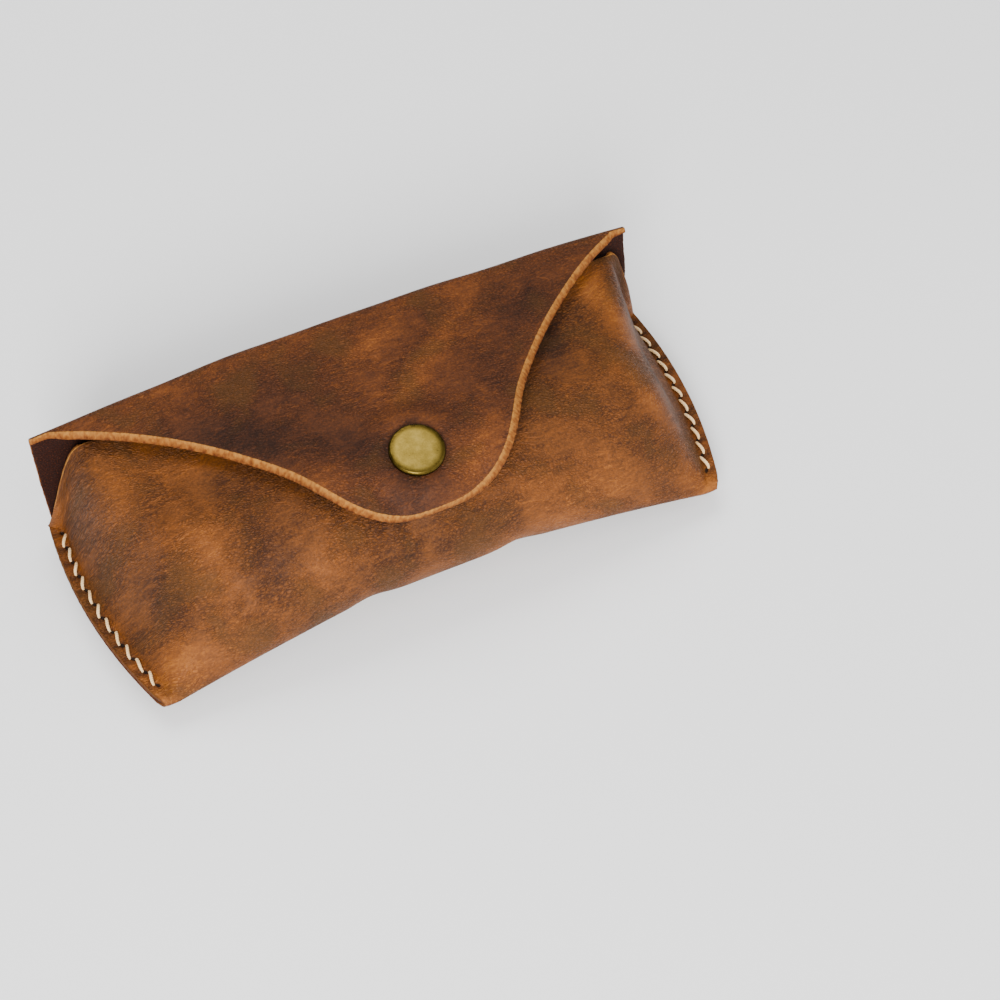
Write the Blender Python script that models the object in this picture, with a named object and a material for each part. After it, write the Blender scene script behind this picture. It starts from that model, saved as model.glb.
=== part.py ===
"""A folded leather eyeglasses case with a snap flap and a belt loop.

The case lies on its back on the belt loop. +X runs along its length, +Z up, and
-Y points from the hinge ridge to the folded bottom edge. Lengths are millimetres
in this file and are turned into metres when a mesh is made.

One leather sheet makes the front, the bottom fold, the back, the wall behind the
mouth and the flap. It bends at two creases, so it is built as three solids:
pouch, spine and flap. Each crease is split at the middle of its bend.
"""
import math

import bmesh
import bpy
import numpy as np
from mathutils import Matrix, Vector

MM = 0.001

# ---- driving sizes, millimetres ----
LEATHER = 1.7            # thickness of the sheet
STRAP_LEATHER = 1.7      # thickness of the belt loop's strap
CLEAR = 0.3              # gap between pieces that touch in the real case
CREASE_SLIT = 0.5        # gap where the sheet is split at a crease
SEAT = 0.2               # gap under a piece that is clamped on the leather

SEAM_TOP = 89.4          # half width at the top of the side seams
WALL_DEPTH = 70.5        # bottom fold to the outer face of the wall behind the mouth
FRONT_HEIGHT = 35.2      # outer height of the front over the back, in the middle

SEAM_TAPER = 7.9         # how much less the half width is at the bottom corners
SEAM_BULGE = 4.0         # how far the seam's edge bows out between the two
SEAM_TO_WALL = 3.5       # top of the side seams to the wall's outer face
CORNER_ROUND = 3.0       # rounding of the bottom corners

FRONT_FALL = 1.0         # how much lower the front is towards its ends
FRONT_DROP = 3.0         # the front's top edge lies this far short of the seams' top
LIP = 3.4                # free edge of the front above the last stitch
FOLD_INSET = 0.6         # how far the bottom fold draws in, in the middle
FOLD_FLAT = 0.25         # share of the half width over which the fold stays full
CROWN_MID = 24.0         # depth of the front's lower curve, in the middle
CROWN_END = 36.0         # the same near the ends

FLANGE = 4.0             # flat margin along each side seam
END_WALL = 24.0          # width over which the front rises from the seam
END_WALL_FADE = 30.0     # depth from which that width narrows to the mouth's
END_WALL_TOP = 10.0      # the same at the mouth's left end
END_WALL_TOP_RIGHT = 7.0  # and at its right end, which stands squarer
END_WALL_HOLLOW = 1.3    # 1 is full, more draws the foot of the end walls in

WALL_SIDE = 1.6          # the wall behind the mouth is this much narrower, each side
CREASE_LOW = 3.0         # outer radius of the crease at the wall's foot
CREASE_RIDGE = 3.0       # outer radius of the ridge
RIDGE_RISE = 2.0         # the ridge's ends over the front's middle
RIDGE_LIFT = 2.8         # how much higher it is in the middle
RIDGE_BOW = 1.5          # how far it bows out in the middle

FLAP_SIDE = 0.6          # the flap is this much narrower than the wall, each side
FLAP_TIP_GAP = 1.0       # the flap is this much shorter than the case is deep
FLAP_SHOULDER = (30.4, 22.0)   # point on the tongue's flank, across and up from its tip
FLAP_SHOULDER_RUN = (6.0, 9.6)  # direction and pull of the outline there
FLAP_TIP_PULL = 18.0     # how broad the tip of the tongue is
FLAP_WING_PULL = (62.0, 10.5)  # draws the outline along the wings
FLAP_WING_END = 1.0      # width left at the end of a wing
FLAP_SKEW = 0.5          # the wings are cut this far off centre
RIDGE_SHIFT = -1.2       # and the ends of the ridge lie this far off centre
BEND_DEPTH = 24.0        # where the flap starts to curve down
BEND_RADIUS = 24.0       # outer radius of that curve

SNAP_DEPTH = 19.4        # middle of the snap
SNAP_STACK = 3.5         # leather to leather, through the closed snap
SNAP_FLAT = 12.0         # radius round the snap over which the leather is flat
SNAP_FADE = 18.0         # radius where that flat spot ends
CAP_RADIUS = 7.5
CAP_HEIGHT = 1.9
SNAP_HOLE = 2.1          # radius of the snap's holes in the leather

STITCHES = 11            # on each side
STITCH_INSET = 2.6       # from the seam's edge
STITCH_FIRST = 6.0       # depth of the lowest hole
STITCH_REST = 4.1        # highest hole to the top of the seam
THREAD = 0.8
PRICK_HOLE = 0.9         # radius

LOOP_WIDTH = 54.0        # belt loop, across
LOOP_FROM = 11.0         # its lower end
LOOP_BOW = 4.6           # height of the belt's slot
LOOP_TAIL = 12.0         # length held flat under the rivets, at each end
LOOP_RAMP = 8.0          # length over which the strap slopes down
RIVET_X = 21.0
RIVET_INSET = 5.5        # rivet to the strap's end
RIVET_CAP_RADIUS = 5.0
RIVET_CAP_HEIGHT = 1.5
RIVET_POST_RADIUS = 1.5
RIVET_HEAD_RADIUS = 3.4
RIVET_HEAD_GAP = 0.8     # the head bears on leather that curves up beside it
RIVET_HEAD_HEIGHT = 0.8

# ---- places that follow ----
SEAM_LENGTH = WALL_DEPTH - SEAM_TO_WALL
SEAM_BOTTOM = SEAM_TOP - SEAM_TAPER
FRONT_DEPTH = SEAM_LENGTH - FRONT_DROP
WALL_HALF = SEAM_TOP - WALL_SIDE
RIDGE_HEIGHT = FRONT_HEIGHT + RIDGE_RISE
FLAP_HALF = WALL_HALF - FLAP_SIDE
FLAP_LENGTH = WALL_DEPTH - FLAP_TIP_GAP     # ridge to tip, along the leather
STITCH_LAST = SEAM_LENGTH - STITCH_REST     # depth of the highest hole
LOOP_TO = WALL_DEPTH - CREASE_LOW           # upper end of the belt loop
RIDGE_DEPTH = WALL_DEPTH + RIDGE_BOW
BACK_LEVEL = LOOP_BOW + STRAP_LEATHER       # outer face of the back over the floor
ORIGIN = Vector((0.0, -RIDGE_DEPTH / 2.0, BACK_LEVEL))
SEAM_RADIUS = LEATHER + CLEAR / 2.0         # fold radius where the layers meet
FLANGE_TOP = 2.0 * LEATHER + CLEAR
SEAM_SHARE = 1.0 - FLANGE / SEAM_TOP        # share of the half width inside the margin
FLAP_TOP = RIDGE_HEIGHT + RIDGE_LIFT + 0.2

ROUND = 24               # sides of a round brass piece


# ---- small helpers ----
def smooth(t):
    """Ease from 0 to 1."""
    t = np.clip(t, 0.0, 1.0)
    return t * t * (3.0 - 2.0 * t)


def lerp(a, b, t):
    return a + (b - a) * t


def bezier(p0, p1, p2, p3, t):
    p0, p1, p2, p3 = (np.asarray(p, float) for p in (p0, p1, p2, p3))
    t = np.asarray(t, float)[:, None]
    k = 1.0 - t
    return k ** 3 * p0 + 3 * k * k * t * p1 + 3 * k * t * t * p2 + t ** 3 * p3


def make_material(name, colour, roughness, metallic):
    mat = bpy.data.materials.new(name)
    mat.use_nodes = True
    shader = mat.node_tree.nodes["Principled BSDF"]
    shader.inputs["Base Color"].default_value = (*colour, 1.0)
    shader.inputs["Roughness"].default_value = roughness
    shader.inputs["Metallic"].default_value = metallic
    return mat


def add_object(name, verts, faces, mat, pivot=(0.0, 0.0, 0.0), shade=35.0):
    """A mesh from points in case millimetres, its origin at pivot."""
    pivot = Vector(pivot)
    mesh = bpy.data.meshes.new(name)
    local = [(Vector(v) - pivot) * MM for v in verts]
    mesh.from_pydata(local, [], faces)
    bm = bmesh.new()
    bm.from_mesh(mesh)
    bmesh.ops.recalc_face_normals(bm, faces=bm.faces)
    bm.to_mesh(mesh)
    bm.free()
    mesh.shade_smooth()
    mesh.set_sharp_from_angle(angle=math.radians(shade))
    mesh.materials.append(mat)
    obj = bpy.data.objects.new(name, mesh)
    obj.location = (pivot + ORIGIN) * MM
    bpy.context.scene.collection.objects.link(obj)
    return obj


def sheet_object(name, grid, mat, thickness, pivot=(0.0, 0.0, 0.0)):
    """A leather sheet from a grid of points on its middle surface."""
    rows, columns = grid.shape[:2]
    faces = []
    for j in range(rows - 1):
        for i in range(columns - 1):
            a = j * columns + i
            faces.append((a, a + 1, a + 1 + columns, a + columns))
    obj = add_object(name, grid.reshape(-1, 3), faces, mat, pivot)
    solid = obj.modifiers.new("thickness", "SOLIDIFY")
    solid.thickness = thickness * MM
    solid.offset = 0.0
    return obj


def ring_points(radius, sides):
    angles = [2.0 * math.pi * k / sides for k in range(sides)]
    return [(radius * math.cos(a), radius * math.sin(a)) for a in angles]


def turned(profile, sides=ROUND):
    """Points and faces of a solid turned round +Z from (radius, height) pairs.

    A profile that starts and ends at radius 0 is closed there by a point, any
    other profile is a ring that closes on itself.
    """
    verts = []
    rows = []
    for radius, height in profile:
        if radius == 0.0:
            rows.append([len(verts)] * sides)
            verts.append((0.0, 0.0, height))
            continue
        rows.append(list(range(len(verts), len(verts) + sides)))
        verts += [(x, y, height) for x, y in ring_points(radius, sides)]
    pairs = list(zip(rows, rows[1:]))
    if profile[0][0] > 0.0:
        pairs.append((rows[-1], rows[0]))
    faces = []
    for low, high in pairs:
        for k in range(sides):
            n = (k + 1) % sides
            corners = []
            for v in (low[k], low[n], high[n], high[k]):
                if v not in corners:
                    corners.append(v)
            faces.append(tuple(corners))
    return verts, faces


def placed(verts, frame):
    return [frame @ Vector(v) for v in verts]


def cut_holes(obj, holes, name):
    """Cut round holes, each a (frame, radius, half length, sides) tuple."""
    verts = []
    faces = []
    for frame, radius, reach, sides in holes:
        pin, pin_faces = turned(
            [(0.0, -reach), (radius, -reach), (radius, reach), (0.0, reach)], sides)
        base = len(verts)
        verts += placed(pin, frame)
        faces += [tuple(v + base for v in face) for face in pin_faces]
    cutter = add_object(name, verts, faces, obj.data.materials[0])
    cutter.hide_render = True
    cutter.display_type = "WIRE"
    cut = obj.modifiers.new("holes", "BOOLEAN")
    cut.operation = "DIFFERENCE"
    cut.solver = "EXACT"
    cut.object = cutter


# ---- the pouch's shape ----
def half_width(y):
    """Half the pouch's width at depth y: seam edge, then the wall's foot."""
    t = np.clip(y / SEAM_LENGTH, 0.0, 1.0)
    seam = lerp(SEAM_BOTTOM, SEAM_TOP, t) + SEAM_BULGE * 4.0 * t * (1.0 - t)
    corner = np.clip(1.0 - y / CORNER_ROUND, 0.0, 1.0)
    seam = seam - 0.5 * CORNER_ROUND * corner * corner
    above = smooth((y - SEAM_LENGTH) / (WALL_DEPTH - CREASE_LOW / 2.0 - SEAM_LENGTH))
    return lerp(seam, WALL_HALF, above)


def fold_share(u):
    """How full the bottom fold is, 1 in the middle to 0 at the corners."""
    s = np.clip((abs(u) - FOLD_FLAT) / (SEAM_SHARE - FOLD_FLAT), 0.0, 1.0)
    return 1.0 - s ** 1.25


def fold_radius(u):
    return lerp(SEAM_RADIUS, FRONT_HEIGHT / 2.0, fold_share(u))


def end_rise(u, y):
    """How far the front has risen at u and depth y, 0 on the seam's margin."""
    from_edge = (1.0 - abs(u)) * half_width(y)
    flange = FLANGE * (1.0 - smooth((y - SEAM_LENGTH + LIP) / LIP))
    top = END_WALL_TOP_RIGHT if u > 0.0 else END_WALL_TOP
    wall = lerp(END_WALL, top,
                smooth((y - END_WALL_FADE) / (SEAM_LENGTH - END_WALL_FADE)))
    share = min(max((from_edge - flange) / wall, 0.0), 1.0)
    return math.sin(math.pi / 2.0 * share) ** END_WALL_HOLLOW


def front_plateau(u):
    return FRONT_HEIGHT - FRONT_FALL * u * u


def mouth_edge(u):
    """Depth of the front's top edge."""
    return lerp(FRONT_DEPTH, SEAM_LENGTH, abs(u) ** 8)


def front_height(u, y, radius, share):
    """Height of the front's middle surface, share of the way up its curve."""
    rise = SEAM_RADIUS + (front_plateau(u) - radius - SEAM_RADIUS) * end_rise(u, y)
    return radius + (rise - LEATHER / 2.0) * share


def pouch_section(u):
    """Points (y, z) of the middle surface, from the low crease to the mouth."""
    half = LEATHER / 2.0
    radius = fold_radius(u)
    inset = FOLD_INSET * fold_share(u)
    rise = end_rise(u, 0.5 * SEAM_LENGTH)
    crown = SEAM_RADIUS + (lerp(CROWN_MID, CROWN_END, u * u) - SEAM_RADIUS) * rise
    power = lerp(2.0, 1.6, u * u)
    points = []
    turn = CREASE_LOW - half
    centre = WALL_DEPTH - CREASE_LOW
    slack = CREASE_SLIT / 2.0 / turn
    for k in range(4):
        a = lerp(-math.pi / 4.0 - slack, -math.pi / 2.0, k / 3.0)
        points.append((centre + turn * math.cos(a), CREASE_LOW + turn * math.sin(a)))
    start = inset + radius
    for k in range(1, 9):
        points.append((lerp(centre, start, k / 8.0), half))
    for k in range(1, 6):
        a = math.pi / 2.0 * k / 5.0
        y = start - (radius - half) * math.sin(a)
        points.append((y, radius - (radius - half) * math.cos(a)))
    for k in range(1, 8):
        a = math.pi / 2.0 * k / 7.0
        across = math.cos(a) ** (2.0 / power)
        up = math.sin(a) ** (2.0 / power)
        y = inset + crown - (crown - half) * across
        points.append((y, front_height(u, y, radius, up)))
    lip = mouth_edge(u) - LIP
    rows = [lerp(inset + crown, lip, k / 7.0) for k in range(1, 8)]
    for y in rows + [lip + LIP / 2.0, lip + LIP]:
        points.append((y, front_height(u, y, radius, 1.0)))
    return points


def side_stations(count):
    """Stations across the pouch, closer together towards the seams."""
    inner = [SEAM_SHARE * (1.0 - (1.0 - k / count) ** 1.6) for k in range(count + 1)]
    outer = inner + [(1.0 + SEAM_SHARE) / 2.0, 1.0]
    return [-u for u in reversed(outer[1:])] + outer


def snap_frame():
    """Frame of the snap on the flap's outer face, +Z along its own axis."""
    lean = math.asin((BEND_DEPTH - SNAP_DEPTH) / BEND_RADIUS)
    z = FLAP_TOP - BEND_RADIUS * (1.0 - math.cos(lean))
    turn = Matrix.Rotation(lean, 4, "X")
    return Matrix.Translation((0.0, SNAP_DEPTH, z)) @ turn


def flatten_round_snap(grid, level):
    """Press the sheet flat round the snap, at a level along its axis."""
    frame = np.array(snap_frame())
    axis = frame[:3, 2]
    centre = frame[:3, 3] + axis * level
    offset = grid - centre
    height = offset @ axis
    radius = np.linalg.norm(offset - height[..., None] * axis, axis=-1)
    near = 1.0 - smooth((radius - SNAP_FLAT) / (SNAP_FADE - SNAP_FLAT))
    near = np.where(np.abs(height) < FRONT_HEIGHT / 4.0, near, 0.0)
    return grid - (near * height)[..., None] * axis


def pouch_grid():
    stations = side_stations(12)
    columns = []
    for u in stations:
        column = [(u * half_width(y), y, z) for y, z in pouch_section(u)]
        columns.append(column)
    grid = np.array(columns).transpose(1, 0, 2)
    return flatten_round_snap(grid, -LEATHER - SNAP_STACK - LEATHER / 2.0)


def ridge_place(u):
    """Outermost depth and height of the ridge at u."""
    bow = 1.0 - u * u
    return WALL_DEPTH + RIDGE_BOW * bow, RIDGE_HEIGHT + RIDGE_LIFT * bow


def spine_grid():
    half = LEATHER / 2.0
    low = CREASE_LOW - half
    top = CREASE_RIDGE - half
    columns = []
    for k in range(13):
        u = k / 6.0 - 1.0
        depth, height = ridge_place(u)
        points = []
        shift = RIDGE_SHIFT * u ** 4
        for j in range(4):
            a = lerp(-math.pi / 4.0 + CREASE_SLIT / 2.0 / low, 0.0, j / 3.0)
            y = WALL_DEPTH - CREASE_LOW + low * math.cos(a)
            points.append((y, CREASE_LOW + low * math.sin(a)))
        for j in range(1, 6):
            t = j / 5.0
            y = lerp(WALL_DEPTH, depth, smooth(t)) - half
            points.append((y, lerp(CREASE_LOW, height - CREASE_RIDGE, t)))
        for j in range(1, 4):
            a = lerp(0.0, math.pi / 4.0 - CREASE_SLIT / 2.0 / top, j / 3.0)
            y = depth - CREASE_RIDGE + top * math.cos(a)
            points.append((y, height - CREASE_RIDGE + top * math.sin(a)))
        columns.append([(u * WALL_HALF + shift * z / height, y, z) for y, z in points])
    return np.array(columns).transpose(1, 0, 2)


def flap_outline(count):
    """Points (across, down) of half the flap's edge, from the tip to a wing."""
    t = np.linspace(0.0, 1.0, count + 1)
    flank = np.array((FLAP_SHOULDER[0], FLAP_LENGTH - FLAP_SHOULDER[1]))
    run = np.array((FLAP_SHOULDER_RUN[0], -FLAP_SHOULDER_RUN[1]))
    tongue = bezier((0.0, FLAP_LENGTH), (FLAP_TIP_PULL, FLAP_LENGTH),
                    flank - run, flank, t)
    wing = bezier(flank, flank + run, FLAP_WING_PULL, (FLAP_HALF, FLAP_WING_END), t)
    return np.vstack((tongue, wing[1:]))


def flap_point(x, down):
    """A point of the flap's middle surface, by its place on the flat leather."""
    half = LEATHER / 2.0
    u = x / FLAP_HALF
    depth, height = ridge_place(u)
    turn = CREASE_RIDGE - half
    arc = turn * math.pi / 4.0
    if down < arc:
        a = math.pi / 4.0 + down / turn
        y = depth - CREASE_RIDGE + turn * math.cos(a)
        return (x, y, height - CREASE_RIDGE + turn * math.sin(a))
    y = depth - CREASE_RIDGE - (down - arc)
    top = lerp(height, FLAP_TOP, smooth((depth - y) / 40.0) * smooth(1.5 - 3.0 * abs(u)))
    if y > BEND_DEPTH:
        return (x, y, top - half)
    a = (BEND_DEPTH - y) / BEND_RADIUS
    y = BEND_DEPTH - (BEND_RADIUS - half) * math.sin(a)
    return (x, y, top - BEND_RADIUS + (BEND_RADIUS - half) * math.cos(a))


def flap_grid():
    edge = flap_outline(8)
    shift = FLAP_SKEW * np.sin(math.pi * np.clip(edge[:, 0] / FLAP_HALF, 0.0, 1.0))
    shift = shift + RIDGE_SHIFT * (edge[:, 0] / FLAP_HALF) ** 4
    right = np.column_stack((edge[:, 0] + shift, edge[:, 1]))
    left = np.column_stack((-edge[:, 0] + shift, edge[:, 1]))
    outline = np.vstack((left[:0:-1], right))
    arc = (CREASE_RIDGE - LEATHER / 2.0) * math.pi / 4.0
    columns = []
    for x, down in outline:
        reach = max(down - CREASE_RIDGE + arc, 0.8)
        bend = min(arc, reach / 2.0)
        rows = [lerp(CREASE_SLIT / 2.0, bend, k / 3.0) for k in range(4)]
        rows += [lerp(bend, reach, k / 10.0) for k in range(1, 11)]
        columns.append([flap_point(x, row) for row in rows])
    grid = np.array(columns).transpose(1, 0, 2)
    return flatten_round_snap(grid, -LEATHER / 2.0)


# ---- stitching ----
def stitch_holes(side):
    """Frames of the prick holes of one seam, from the bottom up."""
    frames = []
    for k in range(STITCHES + 1):
        y = lerp(STITCH_FIRST, STITCH_LAST, k / STITCHES)
        x = side * (float(half_width(y)) - STITCH_INSET)
        frames.append(Matrix.Translation((x, y, FLANGE_TOP / 2.0)))
    return frames


def build_thread(name, side, mat):
    """A seam's thread: rows of stitches on both faces, joined in every hole."""
    half = THREAD / 2.0
    levels = (-SEAT - THREAD, -SEAT, FLANGE_TOP + SEAT, FLANGE_TOP + SEAT + THREAD)
    stations = []
    for frame in stitch_holes(side):
        x, y = frame.translation.x, frame.translation.y
        stations += [(x, y - half), (x, y + half)]
    verts = []
    for x, y in stations:
        for z in levels:
            verts += [(x - half, y, z), (x + half, y, z)]

    def corner(station, level, right):
        return (station * 4 + level) * 2 + right

    def filled(segment, level):
        inside = 0 <= segment < len(stations) - 1 and 0 <= level < 3
        return inside and (level != 1 or segment % 2 == 0)

    faces = []
    for s in range(len(stations) - 1):
        for v in range(3):
            if not filled(s, v):
                continue
            for right in (0, 1):
                faces.append((corner(s, v, right), corner(s + 1, v, right),
                              corner(s + 1, v + 1, right), corner(s, v + 1, right)))
            for step, station in ((-1, s), (1, s + 1)):
                if not filled(s + step, v):
                    faces.append((corner(station, v, 0), corner(station, v, 1),
                                  corner(station, v + 1, 1), corner(station, v + 1, 0)))
            for step, level in ((-1, v), (1, v + 1)):
                if not filled(s, v + step):
                    faces.append((corner(s, level, 0), corner(s, level, 1),
                                  corner(s + 1, level, 1), corner(s + 1, level, 0)))
    return add_object(name, verts, faces, mat)


# ---- brass pieces ----
def turned_object(name, profile, frame, mat, sides=ROUND):
    verts, faces = turned(profile, sides)
    pivot = frame.translation
    return add_object(name, placed(verts, frame), faces, mat, pivot)


def build_snap(mat, spring_mat):
    """Cap, socket and spring on the flap, stud and eyelet on the front."""
    frame = snap_frame()
    inner = -LEATHER
    post = SNAP_HOLE - CLEAR
    socket_top = inner - SEAT
    socket_end = inner - SNAP_STACK + 0.9
    post_end = socket_top - CLEAR
    turned_object("snap_cap", [
        (0.0, SEAT + CAP_HEIGHT), (CAP_RADIUS - 2.0, SEAT + CAP_HEIGHT),
        (CAP_RADIUS - 0.7, SEAT + CAP_HEIGHT - 0.3), (CAP_RADIUS, SEAT + CAP_HEIGHT - 1.0),
        (CAP_RADIUS - 0.1, SEAT + 0.3), (CAP_RADIUS - 0.5, SEAT),
        (post, SEAT), (post, post_end), (0.0, post_end)], frame, mat)
    bore = 2.8
    groove = 3.5
    groove_low = socket_end + 0.5
    groove_high = groove_low + 0.8
    turned_object("snap_socket", [
        (post + CLEAR, socket_top), (5.9, socket_top), (6.2, socket_top - 0.4),
        (6.2, socket_end + 1.0), (5.2, socket_end + 0.3), (4.4, socket_end),
        (bore, socket_end), (bore, groove_low), (groove, groove_low),
        (groove, groove_high), (bore, groove_high), (bore, post_end - 0.1),
        (post + CLEAR, post_end - 0.1)], frame, mat)
    spring_mid = (groove_low + groove_high) / 2.0
    turned_object("snap_spring", [
        (bore + 0.05, spring_mid - 0.2), (groove - 0.15, spring_mid - 0.2),
        (groove - 0.15, spring_mid + 0.2), (bore + 0.05, spring_mid + 0.2)],
        frame, spring_mat)
    front = inner - SNAP_STACK
    stud_base = front + SEAT
    stud_top = post_end - 0.2 - CLEAR
    turned_object("snap_stud", [
        (SNAP_HOLE, stud_base), (5.2, stud_base), (5.2, stud_base + 0.3),
        (4.6, stud_base + 0.5), (1.9, stud_base + 0.5), (1.8, stud_top - 1.0),
        (2.2, stud_top - 0.6), (2.1, stud_top - 0.2), (1.7, stud_top),
        (1.2, stud_top), (1.2, stud_base + 0.4)], frame, mat)
    back = front - LEATHER - SEAT
    barrel = SNAP_HOLE - CLEAR
    turned_object("snap_eyelet", [
        (0.9, back - 0.6), (4.9, back - 0.6), (5.0, back - 0.3), (4.8, back),
        (barrel, back), (barrel, front + SEAT), (0.9, front + SEAT)], frame, mat)


def rivet_places():
    """Middle of each rivet, on the back panel's outer face."""
    places = []
    for y in (LOOP_FROM + RIVET_INSET, LOOP_TO - RIVET_INSET):
        for x in (-RIVET_X, RIVET_X):
            places.append(Matrix.Translation((x, y, 0.0)))
    return places


def build_rivets(mat):
    """A cap outside the strap and a headed post from inside, four times."""
    strap_face = -CLEAR - STRAP_LEATHER
    cap_top = strap_face - SEAT
    cap_end = cap_top - RIVET_CAP_HEIGHT
    pocket = RIVET_POST_RADIUS + CLEAR
    head = LEATHER + RIVET_HEAD_GAP
    for k, frame in enumerate(rivet_places(), start=1):
        turned_object(f"rivet_cap_{k}", [
            (0.0, cap_end), (RIVET_CAP_RADIUS - 2.0, cap_end + 0.1),
            (RIVET_CAP_RADIUS - 0.7, cap_end + 0.5), (RIVET_CAP_RADIUS, cap_end + 1.1),
            (RIVET_CAP_RADIUS - 0.3, cap_top), (pocket, cap_top),
            (pocket, cap_top - 0.9), (0.0, cap_top - 0.9)], frame, mat, 16)
        turned_object(f"rivet_post_{k}", [
            (0.0, cap_top - 0.9 + CLEAR), (RIVET_POST_RADIUS, cap_top - 0.9 + CLEAR),
            (RIVET_POST_RADIUS, head), (RIVET_HEAD_RADIUS, head),
            (RIVET_HEAD_RADIUS, head + 0.3),
            (RIVET_HEAD_RADIUS - 1.2, head + RIVET_HEAD_HEIGHT),
            (0.0, head + RIVET_HEAD_HEIGHT)], frame, mat, 16)


def build_belt_loop(mat):
    """The strap on the back: riveted tails and a bowed middle for a belt."""
    half = STRAP_LEATHER / 2.0
    tail = -CLEAR - half
    low = -LOOP_BOW - half
    rows = [(LOOP_FROM, tail), (LOOP_FROM + LOOP_TAIL, tail)]
    for k in range(1, 7):
        t = k / 6.0
        rows.append((LOOP_FROM + LOOP_TAIL + LOOP_RAMP * t, lerp(tail, low, smooth(t))))
    mirrored = [(LOOP_FROM + LOOP_TO - y, z) for y, z in reversed(rows)]
    grid = []
    for y, z in rows + mirrored:
        grid.append([(lerp(-1.0, 1.0, k / 4.0) * LOOP_WIDTH / 2.0, y, z)
                     for k in range(5)])
    strap = sheet_object("belt_loop", np.array(grid), mat, STRAP_LEATHER)
    holes = [(frame, RIVET_POST_RADIUS + CLEAR, 5.0, 12) for frame in rivet_places()]
    cut_holes(strap, holes, "belt_loop_cutter")


# ---- leather ----
def build_leather(mat):
    """Pouch, spine and flap, each with its origin on the crease it turns on."""
    seam = []
    for side in (-1.0, 1.0):
        seam += [(frame, PRICK_HOLE, 5.0, 8) for frame in stitch_holes(side)]
    rivets = [(frame, RIVET_POST_RADIUS + CLEAR, 5.0, 12) for frame in rivet_places()]
    snap = snap_frame()
    stud = snap @ Matrix.Translation((0.0, 0.0, -LEATHER - SNAP_STACK))

    pouch = sheet_object("pouch", pouch_grid(), mat, LEATHER)
    cut_holes(pouch, seam + rivets + [(stud, SNAP_HOLE, 3.0, 16)], "pouch_cutter")

    bend = math.sin(math.pi / 4.0)
    low = (0.0, WALL_DEPTH - CREASE_LOW * (1.0 - bend), CREASE_LOW * (1.0 - bend))
    sheet_object("spine", spine_grid(), mat, LEATHER, low)

    depth, height = ridge_place(0.0)
    lift = CREASE_RIDGE * (1.0 - bend)
    flap = sheet_object("flap", flap_grid(), mat, LEATHER,
                        (0.0, depth - lift, height - lift))
    cut_holes(flap, [(snap, SNAP_HOLE, 2.5, 16)], "flap_cutter")


def main():
    for obj in list(bpy.data.objects):
        bpy.data.objects.remove(obj)
    leather = make_material("leather", (0.19, 0.075, 0.035), 0.55, 0.0)
    thread = make_material("thread", (0.85, 0.72, 0.52), 0.8, 0.0)
    brass = make_material("brass", (0.42, 0.34, 0.14), 0.35, 1.0)
    steel = make_material("spring_steel", (0.55, 0.55, 0.55), 0.3, 1.0)
    build_leather(leather)
    build_thread("thread_left", -1.0, thread)
    build_thread("thread_right", 1.0, thread)
    build_snap(brass, steel)
    build_belt_loop(leather)
    build_rivets(brass)


main()
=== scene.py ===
"""A folded pull-up leather eyeglasses case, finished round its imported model.

Lengths are millimetres in the case's own frame, and become metres when a mesh is made:
x along the case, y from the bottom fold to the hinge ridge, z up from the back panel.
The leather is one sheet in the real case. Here it is three pieces that meet edge to
edge where it is flat: the pouch, the hinge wall's foot, and the flap with the ridge.
"""
import math

import bpy
import numpy as np
from mathutils import Matrix, Vector


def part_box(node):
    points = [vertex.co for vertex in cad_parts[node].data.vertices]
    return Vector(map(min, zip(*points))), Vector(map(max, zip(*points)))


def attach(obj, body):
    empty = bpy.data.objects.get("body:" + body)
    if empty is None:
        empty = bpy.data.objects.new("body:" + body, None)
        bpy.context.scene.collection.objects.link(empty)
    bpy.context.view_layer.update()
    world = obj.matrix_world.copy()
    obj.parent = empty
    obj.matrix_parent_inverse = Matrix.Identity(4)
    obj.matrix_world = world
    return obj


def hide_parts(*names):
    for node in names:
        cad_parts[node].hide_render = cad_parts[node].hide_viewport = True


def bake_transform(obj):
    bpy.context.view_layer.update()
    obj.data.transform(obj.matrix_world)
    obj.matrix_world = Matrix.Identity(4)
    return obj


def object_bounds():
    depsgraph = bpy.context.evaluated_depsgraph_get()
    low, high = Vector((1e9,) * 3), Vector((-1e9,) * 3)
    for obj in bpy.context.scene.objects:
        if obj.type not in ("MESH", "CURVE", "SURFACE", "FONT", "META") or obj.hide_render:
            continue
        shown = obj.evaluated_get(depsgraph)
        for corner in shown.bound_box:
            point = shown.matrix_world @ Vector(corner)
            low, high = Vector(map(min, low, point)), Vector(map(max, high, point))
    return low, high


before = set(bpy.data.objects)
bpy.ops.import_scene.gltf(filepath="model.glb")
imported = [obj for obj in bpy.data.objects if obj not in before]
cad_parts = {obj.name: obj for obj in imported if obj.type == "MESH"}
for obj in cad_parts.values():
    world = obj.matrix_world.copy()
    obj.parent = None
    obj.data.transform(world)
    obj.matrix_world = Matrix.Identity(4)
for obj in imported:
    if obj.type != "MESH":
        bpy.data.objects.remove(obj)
CAD_LOW, CAD_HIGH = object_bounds()

MM = 0.001

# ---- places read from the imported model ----
POUCH_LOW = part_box("pouch")[0]
SPINE_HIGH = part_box("spine")[1]
FLAP_LOW, FLAP_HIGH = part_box("flap")
LOOP_LOW, LOOP_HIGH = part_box("belt_loop")
CAP_LOW, CAP_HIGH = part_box("snap_cap")
RIVET_LOW, RIVET_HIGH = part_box("rivet_cap_4")
CASE = Vector((0.0, POUCH_LOW.y, POUCH_LOW.z))      # the case frame's origin


def case_mm(point):
    """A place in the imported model, as case millimetres."""
    return (Vector(point) - CASE) / MM


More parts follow.
